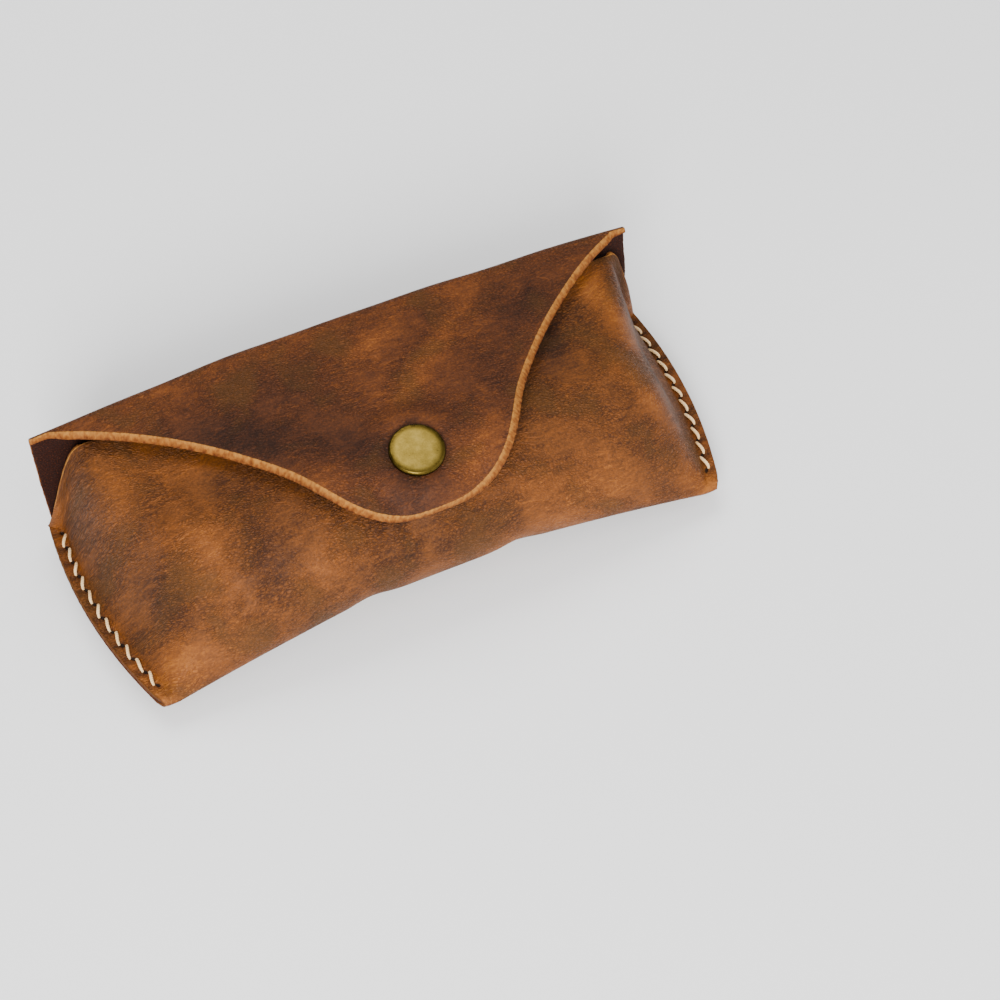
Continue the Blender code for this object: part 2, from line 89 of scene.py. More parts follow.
# ---- sizes, millimetres ----
LEATHER = 1.7
CLEAR = 0.3
SEAT = 0.2
HALF = LEATHER / 2.0

SEAM_BOTTOM = 81.5
SEAM_TOP = 89.4
SEAM_BULGE = 4.0
SEAM_LENGTH = 67.0
CORNER_ROUND = 3.0
FRONT_HEIGHT = 35.2
FRONT_FALL = 1.0
FRONT_DEPTH = 64.0
LIP = 3.4
FOLD_INSET = 0.6
FOLD_FLAT = 0.25
CROWN_MID = 24.0
CROWN_END = 36.0
FLANGE = 4.0
END_WALL = 24.0
END_WALL_TOP = 10.0
END_WALL_TOP_RIGHT = 7.0
END_WALL_HOLLOW = 1.3
END_WALL_FADE = 30.0
RIDGE_BOW = 1.5
RIDGE_DEPTH = case_mm(SPINE_HIGH).y
WALL_DEPTH = RIDGE_DEPTH - RIDGE_BOW
WALL_HALF = 87.8
CREASE = 3.0
FLAP_TOP = case_mm(FLAP_HIGH).z
RIDGE_LIFT = 2.8
RIDGE_HEIGHT = FLAP_TOP - RIDGE_LIFT - 0.2
FLAP_HALF = (FLAP_HIGH.x - FLAP_LOW.x) / MM / 2.0 - 0.05
RIDGE_SHIFT = (FLAP_HIGH.x + FLAP_LOW.x) / MM / 2.0
FLAP_LENGTH = 69.5
FLAP_SHOULDER = (30.4, 47.5)
FLAP_SHOULDER_RUN = (6.0, 9.6)
FLAP_TIP_PULL = 18.0
FLAP_WING_PULL = (62.0, 10.5)
FLAP_WING_END = 1.0
FLAP_SKEW = 0.5
BEND_DEPTH = 24.0
BEND_RADIUS = 24.0
SNAP_DEPTH = 19.4
SNAP_STACK = 3.5
SNAP_FLAT = 8.5
SNAP_FADE = 17.0
CAP_RADIUS = (CAP_HIGH.x - CAP_LOW.x) / MM / 2.0
CAP_HEIGHT = 1.35
STITCHES = 11
STITCH_INSET = 2.6
STITCH_FIRST = 6.0
STITCH_LAST = 62.9
THREAD = 0.98
STITCH_STEPS = 12
LOOP_WIDTH = (LOOP_HIGH.x - LOOP_LOW.x) / MM
LOOP_FROM = case_mm(LOOP_LOW).y
LOOP_TO = case_mm(LOOP_HIGH).y
LOOP_BOW = -case_mm(LOOP_LOW).z - LEATHER
LOOP_TAIL = 12.0
LOOP_RAMP = 8.0
RIVET_X = (RIVET_LOW.x + RIVET_HIGH.x) / MM / 2.0
RIVET_INSET = 5.5
RIVET_CAP_RADIUS = (RIVET_HIGH.x - RIVET_LOW.x) / MM / 2.0
RIVET_CAP_HEIGHT = 1.5
RIVET_POST_RADIUS = 1.5
RIVET_HEAD_RADIUS = 3.4
RIVET_HEAD_GAP = 0.8
RIVET_HEAD_HEIGHT = 0.8

SEAM_RADIUS = LEATHER + CLEAR / 2.0
MARGIN_TOP = 2.0 * LEATHER + CLEAR
SEAM_SHARE = 1.0 - FLANGE / SEAM_TOP
BACK_END = SEAM_LENGTH + 0.3       # the pouch's leather meets the wall's here
WALL_MIDDLE = 20.0                 # and the wall's meets the flap's at this height
FLARE = 1.5                        # slant of the knife's cut along the flap's edge
STATIONS = (84, 14)                # columns across half the pouch and on its margin
BACK_ROWS = 55                     # rows of the pouch's leather, part by part
FOLD_ROWS = 20
CROWN_ROWS = 32
FRONT_ROWS = 34
LIP_ROWS = 6
TONGUE_ROWS = 68                   # rows of the flap from its edge to the ridge's bend
RIDGE_ROWS = 16                    # and round the ridge
EDGE = 0.15                        # slant of every other cut edge
FLAT_SPAN = 400.0                  # side of the square that the flat leather is mapped on
ROUND = 64                         # sides of a turned brass piece
LEATHER_DEPTH = (0.42, 0.325, 0.105)  # how much deeper the dye is than it looks


# ---- small helpers ----
def smooth(t):
    t = np.clip(t, 0.0, 1.0)
    return t * t * (3.0 - 2.0 * t)


def lerp(a, b, t):
    return a + (b - a) * t


def bump(distance, reach):
    """A soft bump, 1 at distance 0, that fades over reach."""
    return np.exp(-(distance / reach) ** 2)


def bezier(p0, p1, p2, p3, t):
    p0, p1, p2, p3 = (np.asarray(p, float) for p in (p0, p1, p2, p3))
    t = np.asarray(t, float)[:, None]
    k = 1.0 - t
    return k ** 3 * p0 + 3 * k * k * t * p1 + 3 * k * t * t * p2 + t ** 3 * p3


def drift(x, y, phase):
    """Slow unevenness over the leather, about -1 to 1."""
    return (np.sin(x / 19.0 + 1.3 * phase) * np.sin(y / 13.0 + 0.7 * phase)
            + 0.6 * np.sin(x / 8.3 - y / 11.0 + 2.1 * phase)
            + 0.35 * np.sin(x / 4.9 + y / 5.7 + 3.3 * phase)) / 1.6


def to_world(points):
    return np.asarray(points) * MM + np.array(CASE)


def linear(red, green, blue):
    """A screen colour, 0 to 255, as the shader's linear colour."""
    return tuple((c / 255.0) ** 2.2 for c in (red, green, blue)) + (1.0,)


def hide(red, green, blue):
    """The deep colour of the dye under a leather that looks this colour in the light."""
    seen = linear(red, green, blue)
    return tuple(c * k for c, k in zip(seen, LEATHER_DEPTH)) + (1.0,)


# ---- node writing ----
class Value:
    """A socket of a material that takes part in sums."""

    def __init__(self, paint, socket):
        self.paint = paint
        self.socket = socket

    def math(self, operation, *others):
        inputs = dict(enumerate((self, *others)))
        return self.paint.node("Math", {"operation": operation}, inputs)

    def __add__(self, other):
        return self.math("ADD", other)

    __radd__ = __add__

    def __mul__(self, other):
        return self.math("MULTIPLY", other)

    __rmul__ = __mul__

    def __sub__(self, other):
        return self.math("SUBTRACT", other)

    def __rsub__(self, other):
        return self.paint.node("Math", {"operation": "SUBTRACT"}, {0: other, 1: self})

    def clamp(self):
        return self.paint.node("Clamp", {}, {"Value": self})

    def ease(self, low, high):
        """0 below low, 1 above high, soft between."""
        settings = {"interpolation_type": "SMOOTHSTEP"}
        inputs = {"Value": self, "From Min": low, "From Max": high}
        return self.paint.node("MapRange", settings, inputs)


class Paint:
    """A material and the one method that adds its nodes."""

    def __init__(self, name):
        self.material = bpy.data.materials.new(name)
        self.material.use_nodes = True
        self.tree = self.material.node_tree
        self.shader = self.tree.nodes["Principled BSDF"]

    def feed(self, socket, value):
        if isinstance(value, Value):
            self.tree.links.new(value.socket, socket)
        else:
            socket.default_value = value

    def node(self, kind, settings, inputs, output=0):
        made = self.tree.nodes.new("ShaderNode" + kind)
        for key, value in settings.items():
            if key == "stops":
                self.set_stops(made.color_ramp, value)
            else:
                setattr(made, key, value)
        for key, value in inputs.items():
            self.feed(made.inputs[key], value)
        return Value(self, made.outputs[output])

    def set_stops(self, ramp, stops):
        while len(ramp.elements) < len(stops):
            ramp.elements.new(0.5)
        for element, (position, colour) in zip(ramp.elements, stops):
            element.position = position
            element.color = colour

    def attribute(self, name):
        return self.node("Attribute", {"attribute_name": name}, {}, "Fac")

    def noise(self, place, scale, detail=2.0, distortion=0.0):
        inputs = {"Vector": place, "Scale": scale, "Detail": detail,
                  "Distortion": distortion}
        return self.node("TexNoise", {}, inputs)

    def mapped(self, place, turn, scale):
        inputs = {"Vector": place, "Rotation": (0.0, 0.0, turn), "Scale": scale}
        return self.node("Mapping", {}, inputs)

    def mix(self, share, a, b):
        settings = {"data_type": "RGBA"}
        return self.node("Mix", settings, {0: share, 6: a, 7: b}, 2)

    def ramp(self, value, stops):
        return self.node("ValToRGB", {"stops": stops}, {"Fac": value})

    def relief(self, height, distance, strength):
        inputs = {"Height": height, "Distance": distance, "Strength": strength}
        return self.node("Bump", {}, inputs)

    def finish(self, **inputs):
        for key, value in inputs.items():
            self.feed(self.shader.inputs[key.replace("_", " ")], value)
        return self.material


# ---- finishes ----
def leather_finish():
    """Waxed brown pull-up leather: grain, bare flesh side and raw cut edge."""
    p = Paint("pull_up_leather")
    uv = p.node("UVMap", {"uv_map": "flat"}, {})
    place = p.node("VectorMath", {"operation": "SCALE"}, {0: uv, "Scale": FLAT_SPAN})
    side = p.attribute("side")
    rim = p.attribute("rim")
    raw = p.attribute("raw")
    tone = p.attribute("tone")
    red = p.attribute("red")
    stitch = p.attribute("stitch")
    from_line = p.attribute("from_line")

    # wax pulled about in soft clouds, and fine streaks that run across the hide
    slope = math.radians(-42.0)            # the way the hide's creases run
    clouds = p.noise(place, 0.04, 2.0, 0.5) - 0.5
    mottle = p.noise(place, 0.17, 3.0, 0.4) - 0.5
    speckle = p.noise(place, 1.3, 2.0) - 0.5
    streak = p.noise(p.mapped(place, slope, (0.4, 1.0, 1.0)), 0.6, 3.0, 0.4) - 0.5
    hair = p.noise(p.mapped(place, slope, (0.35, 1.0, 1.0)), 2.2, 2.0) - 0.5

    # pebbled grain in small drawn-out cells, and longer creases that show pale
    wander = p.node("VectorMath", {"operation": "MULTIPLY_ADD"},
                    {0: p.node("TexNoise", {}, {"Vector": place, "Scale": 0.5}, "Color"),
                     1: (1.4, 1.4, 0.0), 2: place})
    drawn = p.mapped(wander, slope, (0.5, 1.0, 1.0))
    strength = p.noise(place, 0.07, 2.0, 0.4).ease(0.34, 0.6) * 0.75 + 0.25
    cell = p.node("TexVoronoi", {"feature": "DISTANCE_TO_EDGE"},
                  {"Vector": drawn, "Scale": 1.75})
    crack = (1.0 - cell.ease(0.0, 0.26)) * strength
    long_cell = p.node("TexVoronoi", {"feature": "DISTANCE_TO_EDGE"},
                       {"Vector": p.mapped(wander, slope, (0.22, 1.0, 1.0)), "Scale": 0.6})
    crease = (1.0 - long_cell.ease(0.0, 0.09)) * p.noise(place, 0.09, 2.0).ease(0.45, 0.62)
    pores = p.node("TexVoronoi", {"feature": "F1"}, {"Vector": place, "Scale": 1.7})
    pore = 1.0 - pores.ease(0.05, 0.28)

    # this mixes the wax and grain with tone, and tone brings in the painted shade and painted
    # highlights set on each piece
    wear_and_painted_light = (tone * 0.46 + clouds * 0.3 + mottle * 0.22 + streak * 0.5 + hair * 0.3
            + speckle * 0.5 - crack * 0.28 - pore * 0.1 + crease * 0.16 + 0.56)
    brown = p.ramp(wear_and_painted_light, [(0.0, hide(58, 36, 24)), (0.25, hide(88, 55, 34)),
                          (0.5, hide(130, 84, 52)), (0.75, hide(164, 104, 62)),
                          (1.0, hide(198, 132, 82))])
    rosy = p.ramp(wear_and_painted_light, [(0.0, hide(56, 34, 27)), (0.25, hide(84, 51, 38)),
                         (0.5, hide(114, 70, 50)), (0.75, hide(148, 92, 60)),
                         (1.0, hide(188, 122, 78))])
    reddish = (red + clouds * 0.6).clamp()
    grain = p.mix(reddish, brown, rosy)
    # olive patches are painted waxy sheen
    olive = p.noise(place, 0.07, 2.0, 0.3).ease(0.5, 0.7) * 0.5
    grain = p.mix(olive, grain, hide(112, 82, 54))

    # prick holes, slanted slots along the stitch line, their insides painted near black as shade
    step = stitch - stitch.math("ROUND")
    pitch = (STITCH_LAST - STITCH_FIRST) / STITCHES
    along = step * pitch + from_line * 0.45
    slot = (along * along * 1.6 + from_line * from_line * 2.6).math("SQRT")
    inside = stitch.ease(-0.4, -0.2) * (1.0 - stitch.ease(STITCHES + 0.2, STITCHES + 0.4))
    hole = (1.0 - slot.ease(0.55, 1.1)) * inside
    grain = p.mix(hole * 0.92, grain, hide(26, 14, 10))

    # the flesh side is a short dark nap, darkened further as painted shade for the inside of the
    # case; the cut edge a fuzzy tan
    nap = p.noise(place, 2.6, 4.0)
    flesh = p.ramp(nap, [(0.35, hide(34, 15, 9)), (0.6, hide(70, 34, 19)),
                         (0.72, hide(128, 70, 36))])
    through = p.node("CombineXYZ", {}, {"Z": side * LEATHER})
    inside_edge = p.node("VectorMath", {"operation": "ADD"}, {0: place, 1: through})
    fibre = p.noise(inside_edge, 1.1, 4.0)
    edge = p.ramp(fibre + (side - 0.5) * -0.45,
                  [(0.2, hide(118, 66, 38)), (0.5, hide(184, 124, 88)),
                   (0.8, hide(228, 174, 136))])
    edge = p.mix(1.0 - raw, edge, hide(96, 56, 32))
    cut = (rim + (fibre - 0.5) * 0.35).ease(0.5, 0.72)
    under = (side + (fibre - 0.5) * 0.2).ease(0.86, 0.98)
    colour = p.mix(cut, p.mix(under, grain, flesh), edge)

    pebble = cell.ease(0.0, 0.4) * strength
    height = (pebble * 1.3 + streak * 0.6 + hair * 0.3 + speckle * 0.6 - pore * 0.4
              - crease * 0.6 - hole * 3.0)
    fuzz = p.noise(place, 3.4, 3.0)
    bare = cut.math("MAXIMUM", under)
    normal = p.relief(height * (1.0 - bare) + fuzz * bare * 1.2, 0.0002, 0.8)
    rough = (0.54 + (1.0 - wear_and_painted_light) * 0.12 + crack * 0.12).math("MINIMUM", 0.75)
    rough = rough + bare * 0.25
    return p.finish(Base_Color=colour, Roughness=rough, Normal=normal,
                    Specular_IOR_Level=0.2)


def thread_finish():
    """Waxed cream thread with its twist."""
    p = Paint("waxed_thread")
    place = p.node("TexCoord", {}, {}, "Object")
    twist = p.node("TexWave", {"wave_type": "BANDS", "bands_direction": "DIAGONAL"},
                   {"Vector": place, "Scale": 900.0, "Distortion": 1.5, "Detail": 1.0})
    soil = p.noise(place, 260.0, 3.0)
    colour = p.ramp(soil * 0.6 + twist * 0.4,
                    [(0.2, linear(206, 156, 98)), (0.55, linear(248, 208, 150)),
                     (0.85, linear(255, 232, 190))])
    normal = p.relief(twist, 0.00012, 0.7)
    return p.finish(Base_Color=colour, Roughness=0.62 + soil * 0.15, Normal=normal)


def brass_finish(name, polish, cap_middle=None):
    """Antiqued brass, brighter where it is rubbed and dark round a cap's shoulder."""
    p = Paint(name)
    place = p.node("TexCoord", {}, {}, "Object")
    patina = p.noise(place, 420.0, 5.0)
    grit = p.noise(place, 2600.0, 3.0)
    rub = patina * 0.7 + grit * 0.3
    if cap_middle is not None:
        away = p.node("VectorMath", {"operation": "DISTANCE"},
                      {0: place, 1: cap_middle}, "Value")
        rub = rub - (away + patina * 0.002).ease(0.0071, 0.0084) * 0.3
    colour = p.ramp(rub, [(0.1, (0.035, 0.022, 0.004, 1.0)), (0.3, (0.11, 0.074, 0.013, 1.0)),
                          (0.5, (0.20, 0.137, 0.026, 1.0)), (0.7, (0.31, 0.22, 0.05, 1.0))])
    normal = p.relief(grit, 0.00002, 0.5)
    return p.finish(Base_Color=colour, Metallic=1.0,
                    Roughness=polish + (patina - 0.5) * 0.25 + (grit - 0.5) * 0.1,
                    Normal=normal)


def steel_finish():
    """Bare spring steel wire."""
    p = Paint("spring_steel")
    place = p.node("TexCoord", {}, {}, "Object")
    drawn = p.noise(place, 1500.0, 2.0)
    colour = p.ramp(drawn, [(0.3, linear(150, 150, 148)), (0.7, linear(205, 204, 200))])
    return p.finish(Base_Color=colour, Metallic=1.0, Roughness=0.22 + drawn * 0.15)


# ---- leather sheets ----
def sheet_normals(grid):
    across = np.gradient(grid, axis=1)
    down = np.gradient(grid, axis=0)
    normal = np.cross(across, down)
    return normal / np.maximum(np.linalg.norm(normal, axis=2, keepdims=True), 1e-9)


def border(rows, columns):
    """The grid's border as (row, column) pairs, once round."""
    loop = [(0, i) for i in range(columns)]
    loop += [(j, columns - 1) for j in range(1, rows)]
    loop += [(rows - 1, i) for i in range(columns - 2, -1, -1)]
    loop += [(j, 0) for j in range(rows - 2, 0, -1)]
    return loop


def rim_rings(grid, normal, loop, joined_rows, flare):
    """Points of a cut edge, ring by ring from grain to flesh, and its foot.

    flare is how far the knife's slant carries the flesh side out, over the grid.
    """
    points = np.array([grid[j, i] for j, i in loop])
    up = np.array([normal[j, i] for j, i in loop])
    tangent = np.roll(points, -1, axis=0) - np.roll(points, 1, axis=0)
    outward = np.cross(tangent, up)
    columns = grid.shape[1]
    bulge = np.ones(len(loop))
    for k, (j, i) in enumerate(loop):
        if j in joined_rows:
            if i in (0, columns - 1):
                inner = 1 if i == 0 else columns - 2
                outward[k] = grid[j, i] - grid[j, inner]
            else:
                bulge[k] = 0.0
    outward /= np.maximum(np.linalg.norm(outward, axis=1, keepdims=True), 1e-9)
    slant = np.array([flare[j, i] for j, i in loop])
    rough = 0.05 * np.sin(np.arange(len(loop)) * 2.17) * np.sin(np.arange(len(loop)) * 0.73)
    rings = []
    for level, swell in ((0.8, 0.16), (0.35, 0.24), (-0.1, 0.26), (-0.5, 0.25), (-0.85, 0.18)):
        out = (swell + slant * (1.0 - level) / 2.0 + rough * (1.0 - level)) * bulge
        rings.append((level, points + up * HALF * level + outward * out[:, None]))
    foot = points - up * HALF + outward * (slant * bulge)[:, None]
    return rings, foot


def leather_sheet(name, grid, flat, material, joined_rows=(), fields=None, flare=None):
    """A closed leather sheet round a grid of middle points.

    flat holds each point's place on the flat leather, and fields are further values
    that the finish reads, as arrays over the grid.
    """
    rows, columns = grid.shape[:2]
    normal = sheet_normals(grid)
    loop = border(rows, columns)
    flare = np.full((rows, columns), EDGE) if flare is None else flare
    rings, foot = rim_rings(grid, normal, loop, joined_rows, flare)
    count = rows * columns
    flesh = grid - normal * HALF
    for (j, i), point in zip(loop, foot):
        flesh[j, i] = point
    verts = [(grid + normal * HALF).reshape(-1, 3), flesh.reshape(-1, 3)]
    verts += [ring for _, ring in rings]
    verts = np.vstack(verts)

    j, i = np.mgrid[0:rows - 1, 0:columns - 1]
    a = (j * columns + i).ravel()
    outer = np.column_stack((a, a + 1, a + 1 + columns, a + columns))
    inner = outer[:, ::-1] + count
    on_loop = np.array([r * columns + c for r, c in loop])
    chain = [on_loop]
    chain += [2 * count + k * len(loop) + np.arange(len(loop)) for k in range(len(rings))]
    chain += [on_loop + count]
    faces = [outer, inner]
    for high, low in zip(chain, chain[1:]):
        faces.append(np.column_stack((high, low, np.roll(low, -1), np.roll(high, -1))))
    faces = np.vstack(faces)

    mesh = bpy.data.meshes.new(name)
    mesh.from_pydata(to_world(verts).tolist(), [], faces.tolist())
    piece = bpy.data.objects.new(name, mesh)
    bpy.context.scene.collection.objects.link(piece)
    mesh.materials.append(material)

    def spread(values):
        return np.concatenate([values.ravel(), values.ravel()]
                              + [values.ravel()[on_loop]] * len(rings))

    u = spread(0.5 + flat[..., 0] / FLAT_SPAN)
    v = spread(0.5 + flat[..., 1] / FLAT_SPAN)
    layer = mesh.uv_layers.new(name="flat")
    corner = np.zeros(len(mesh.loops), np.int32)
    mesh.loops.foreach_get("vertex_index", corner)
    layer.data.foreach_set("uv", np.column_stack((u[corner], v[corner])).ravel())

    side = np.concatenate([np.zeros(count), np.ones(count)]
                          + [np.full(len(loop), (1.0 - level) / 2.0) for level, _ in rings])
    rim = np.zeros(len(verts))
    rim[2 * count:] = 1.0
    free = np.array([r not in joined_rows or c in (0, columns - 1) for r, c in loop])
    rim[on_loop[free]] = 0.55
    rim[on_loop[free] + count] = 0.55
    values = {"side": side, "rim": rim}
    for key in ("tone", "red", "raw", "stitch", "from_line"):
        start = -9.0 if key == "stitch" else 9.0 if key == "from_line" else 0.0
        field = (fields or {}).get(key, np.full((rows, columns), start))
        values[key] = spread(np.broadcast_to(field, (rows, columns)).astype(float))
    for key, value in values.items():
        attribute = mesh.attributes.new(key, "FLOAT", "POINT")
        attribute.data.foreach_set("value", value.astype(np.float32))
    mesh.shade_smooth()
    mesh.set_sharp_from_angle(angle=math.radians(58.0))
    return piece


def patches(x, y, spots):
    """Sum of soft spots, each (x, y, half length, half width, turn, strength)."""
    total = np.zeros_like(x)
    for cx, cy, length, width, turn, strength in spots:
        c, s = math.cos(math.radians(turn)), math.sin(math.radians(turn))
        along = ((x - cx) * c + (y - cy) * s) / length
        across = ((y - cy) * c - (x - cx) * s) / width
        total = total + strength * np.exp(-(along ** 2 + across ** 2))
    return total


# ---- the pouch's leather ----
def half_width(y):
    t = np.clip(y / SEAM_LENGTH, 0.0, 1.0)
    seam = lerp(SEAM_BOTTOM, SEAM_TOP, t) + SEAM_BULGE * 4.0 * t * (1.0 - t)
    corner = np.clip(1.0 - y / CORNER_ROUND, 0.0, 1.0)
    seam = seam - 0.5 * CORNER_ROUND * corner * corner
    above = smooth((y - SEAM_LENGTH) / (WALL_DEPTH - CREASE / 2.0 - SEAM_LENGTH))
    return lerp(seam, WALL_HALF, above)


def fold_share(u):
    s = np.clip((np.abs(u) - FOLD_FLAT) / (SEAM_SHARE - FOLD_FLAT), 0.0, 1.0)
    return 1.0 - s ** 1.25


def end_rise(u, y):
    """How far the front has risen from the seam's margin at u and depth y."""
    from_edge = (1.0 - np.abs(u)) * half_width(y)
    flange = FLANGE * (1.0 - smooth((y - SEAM_LENGTH + LIP) / LIP))
    narrowing = smooth((y - END_WALL_FADE) / (SEAM_LENGTH - END_WALL_FADE))
    wall = lerp(END_WALL, np.where(u > 0.0, END_WALL_TOP_RIGHT, END_WALL_TOP), narrowing)
    share = np.clip((from_edge - flange) / wall, 0.0, 1.0)
    return np.sin(np.pi / 2.0 * share) ** END_WALL_HOLLOW


def front_height(u, y, radius, share):
    plateau = FRONT_HEIGHT - FRONT_FALL * u * u
    rise = SEAM_RADIUS + (plateau - radius - SEAM_RADIUS) * end_rise(u, y)
    return radius + (rise - HALF) * share


def stations(count, dense):
    """Stations across the pouch, closer together on the seams' margins."""
    inner = np.linspace(0.0, 1.0, count + 1)
    inner = SEAM_SHARE * 0.97 * (1.0 - (1.0 - inner) ** 1.25)
    outer = np.linspace(inner[-1], 1.0, dense + 1)[1:]
    half = np.concatenate((inner, outer))
    return np.concatenate((-half[:0:-1], half))


def pouch_grid():
    """Middle points and their shares across the half width, from the back's upper end to the
    front's lip.
    """
    u = stations(*STATIONS)
    radius = lerp(SEAM_RADIUS, FRONT_HEIGHT / 2.0, fold_share(u))
    inset = FOLD_INSET * fold_share(u)
    rise = end_rise(u, 0.5 * SEAM_LENGTH)
    crown = SEAM_RADIUS + (lerp(CROWN_MID, CROWN_END, u * u) - SEAM_RADIUS) * rise
    power = lerp(2.0, 1.6, u * u)
    start = inset + radius
    depth = []
    height = []
    for k in range(BACK_ROWS + 1):
        depth.append(lerp(BACK_END, start, k / BACK_ROWS))
        height.append(np.full_like(u, HALF))
    for k in range(1, FOLD_ROWS + 1):
        a = math.pi / 2.0 * k / FOLD_ROWS
        depth.append(start - (radius - HALF) * math.sin(a))
        height.append(radius - (radius - HALF) * math.cos(a))
    for k in range(1, CROWN_ROWS + 1):
        a = math.pi / 2.0 * k / CROWN_ROWS
        y = inset + crown - (crown - HALF) * math.cos(a) ** (2.0 / power)
        depth.append(y)
        height.append(front_height(u, y, radius, math.sin(a) ** (2.0 / power)))
    lip = lerp(FRONT_DEPTH, SEAM_LENGTH, np.abs(u) ** 8) - LIP
    rows = [lerp(inset + crown, lip, k / FRONT_ROWS) for k in range(1, FRONT_ROWS + 1)]
    for y in rows + [lip + LIP * k / LIP_ROWS for k in range(1, LIP_ROWS + 1)]:
        depth.append(y)
        height.append(front_height(u, y, radius, 1.0))
    y = np.array(depth)
    z = np.array(height)
    share = np.broadcast_to(u, y.shape)
    grid = np.stack((share * half_width(y), y, z), axis=2)
    return grid, share


def soften(grid, rounds, keep):
    """Relax a grid a little where keep is 0, so that hard bends become soft ones."""
    give = (1.0 - keep)[..., None]
    for _ in range(rounds):
        middle = grid.copy()
        middle[1:-1, 1:-1] = (grid[:-2, 1:-1] + grid[2:, 1:-1]
                              + grid[1:-1, :-2] + grid[1:-1, 2:]) / 4.0
        grid = lerp(grid, middle, 0.6 * give)
    return grid


def along_rows(grid):
    """Length along each column from the first row."""
    step = np.linalg.norm(np.diff(grid, axis=0), axis=2)
    return np.vstack((np.zeros(grid.shape[1]), np.cumsum(step, axis=0)))


def snap_frame():
    lean = math.asin((BEND_DEPTH - SNAP_DEPTH) / BEND_RADIUS)
    z = FLAP_TOP - BEND_RADIUS * (1.0 - math.cos(lean))
    return Matrix.Translation((0.0, SNAP_DEPTH, z)) @ Matrix.Rotation(lean, 4, "X")


def flatten_round_snap(grid, level):
    matrix = np.array(snap_frame())
    axis = matrix[:3, 2]
    offset = grid - (matrix[:3, 3] + axis * level)
    height = offset @ axis
    radius = np.linalg.norm(offset - height[..., None] * axis, axis=-1)
    near = 1.0 - smooth((radius - SNAP_FLAT) / (SNAP_FADE - SNAP_FLAT))
    near = np.where(np.abs(height) < FRONT_HEIGHT / 4.0, near, 0.0)
    return grid - (near * height)[..., None] * axis


# Darker and lighter spots over the front: many are painted shade in the end walls' hollows and
# under the flap, and painted highlights on the ridges beside them; the rest is tone.
FRONT_SPOTS = (
    (-84.0, 36.0, 20.0, 6.0, -84.0, -0.5),    # dark left end: painted shade in the end wall's hollow, with darker wax
    (-76.0, 16.0, 20.0, 6.0, -66.0, -0.95),
    (-73.0, 2.0, 12.0, 6.0, -50.0, -0.6),
    (-70.0, 50.0, 9.0, 8.0, 0.0, 0.55),
    (-58.0, 22.0, 26.0, 7.0, 78.0, 0.6),       # painted highlight along the soft ridge beside it
    (-50.0, 34.0, 9.0, 7.0, 0.0, -0.5),
    (-44.0, 12.0, 14.0, 8.0, 60.0, -0.35),
    (-34.0, 6.0, 14.0, 6.0, 20.0, 0.45),
    (-16.0, 2.0, 16.0, 4.0, 0.0, -0.2),
    (8.0, -2.0, 20.0, 5.0, 4.0, -0.55),
    (30.0, 6.0, 10.0, 5.0, 0.0, 0.2),
    (48.0, 44.0, 12.0, 8.0, 70.0, -0.9),       # shade under the flap's right wing
    (56.0, 22.0, 16.0, 6.0, 60.0, 0.1),
    (71.0, 46.0, 24.0, 4.5, 97.0, 0.95),      # painted highlight on the shoulder at the right end
    (66.0, 24.0, 14.0, 4.0, 110.0, 0.6),
    (80.0, 22.0, 20.0, 5.5, 104.0, -1.1),     # painted shade in the olive hollow between it and the seam
    (84.0, 48.0, 16.0, 4.0, 98.0, -0.8),
    (44.0, 2.0, 14.0, 5.0, 10.0, 0.4),
)


def seam_fields(grid, share):
    """Place along the stitches and distance from their line, on both layers."""
    y = grid[..., 1]
    from_line = (1.0 - np.abs(share)) * half_width(y) - STITCH_INSET
    stitch = (y - STITCH_FIRST) / (STITCH_LAST - STITCH_FIRST) * STITCHES
    return stitch, from_line


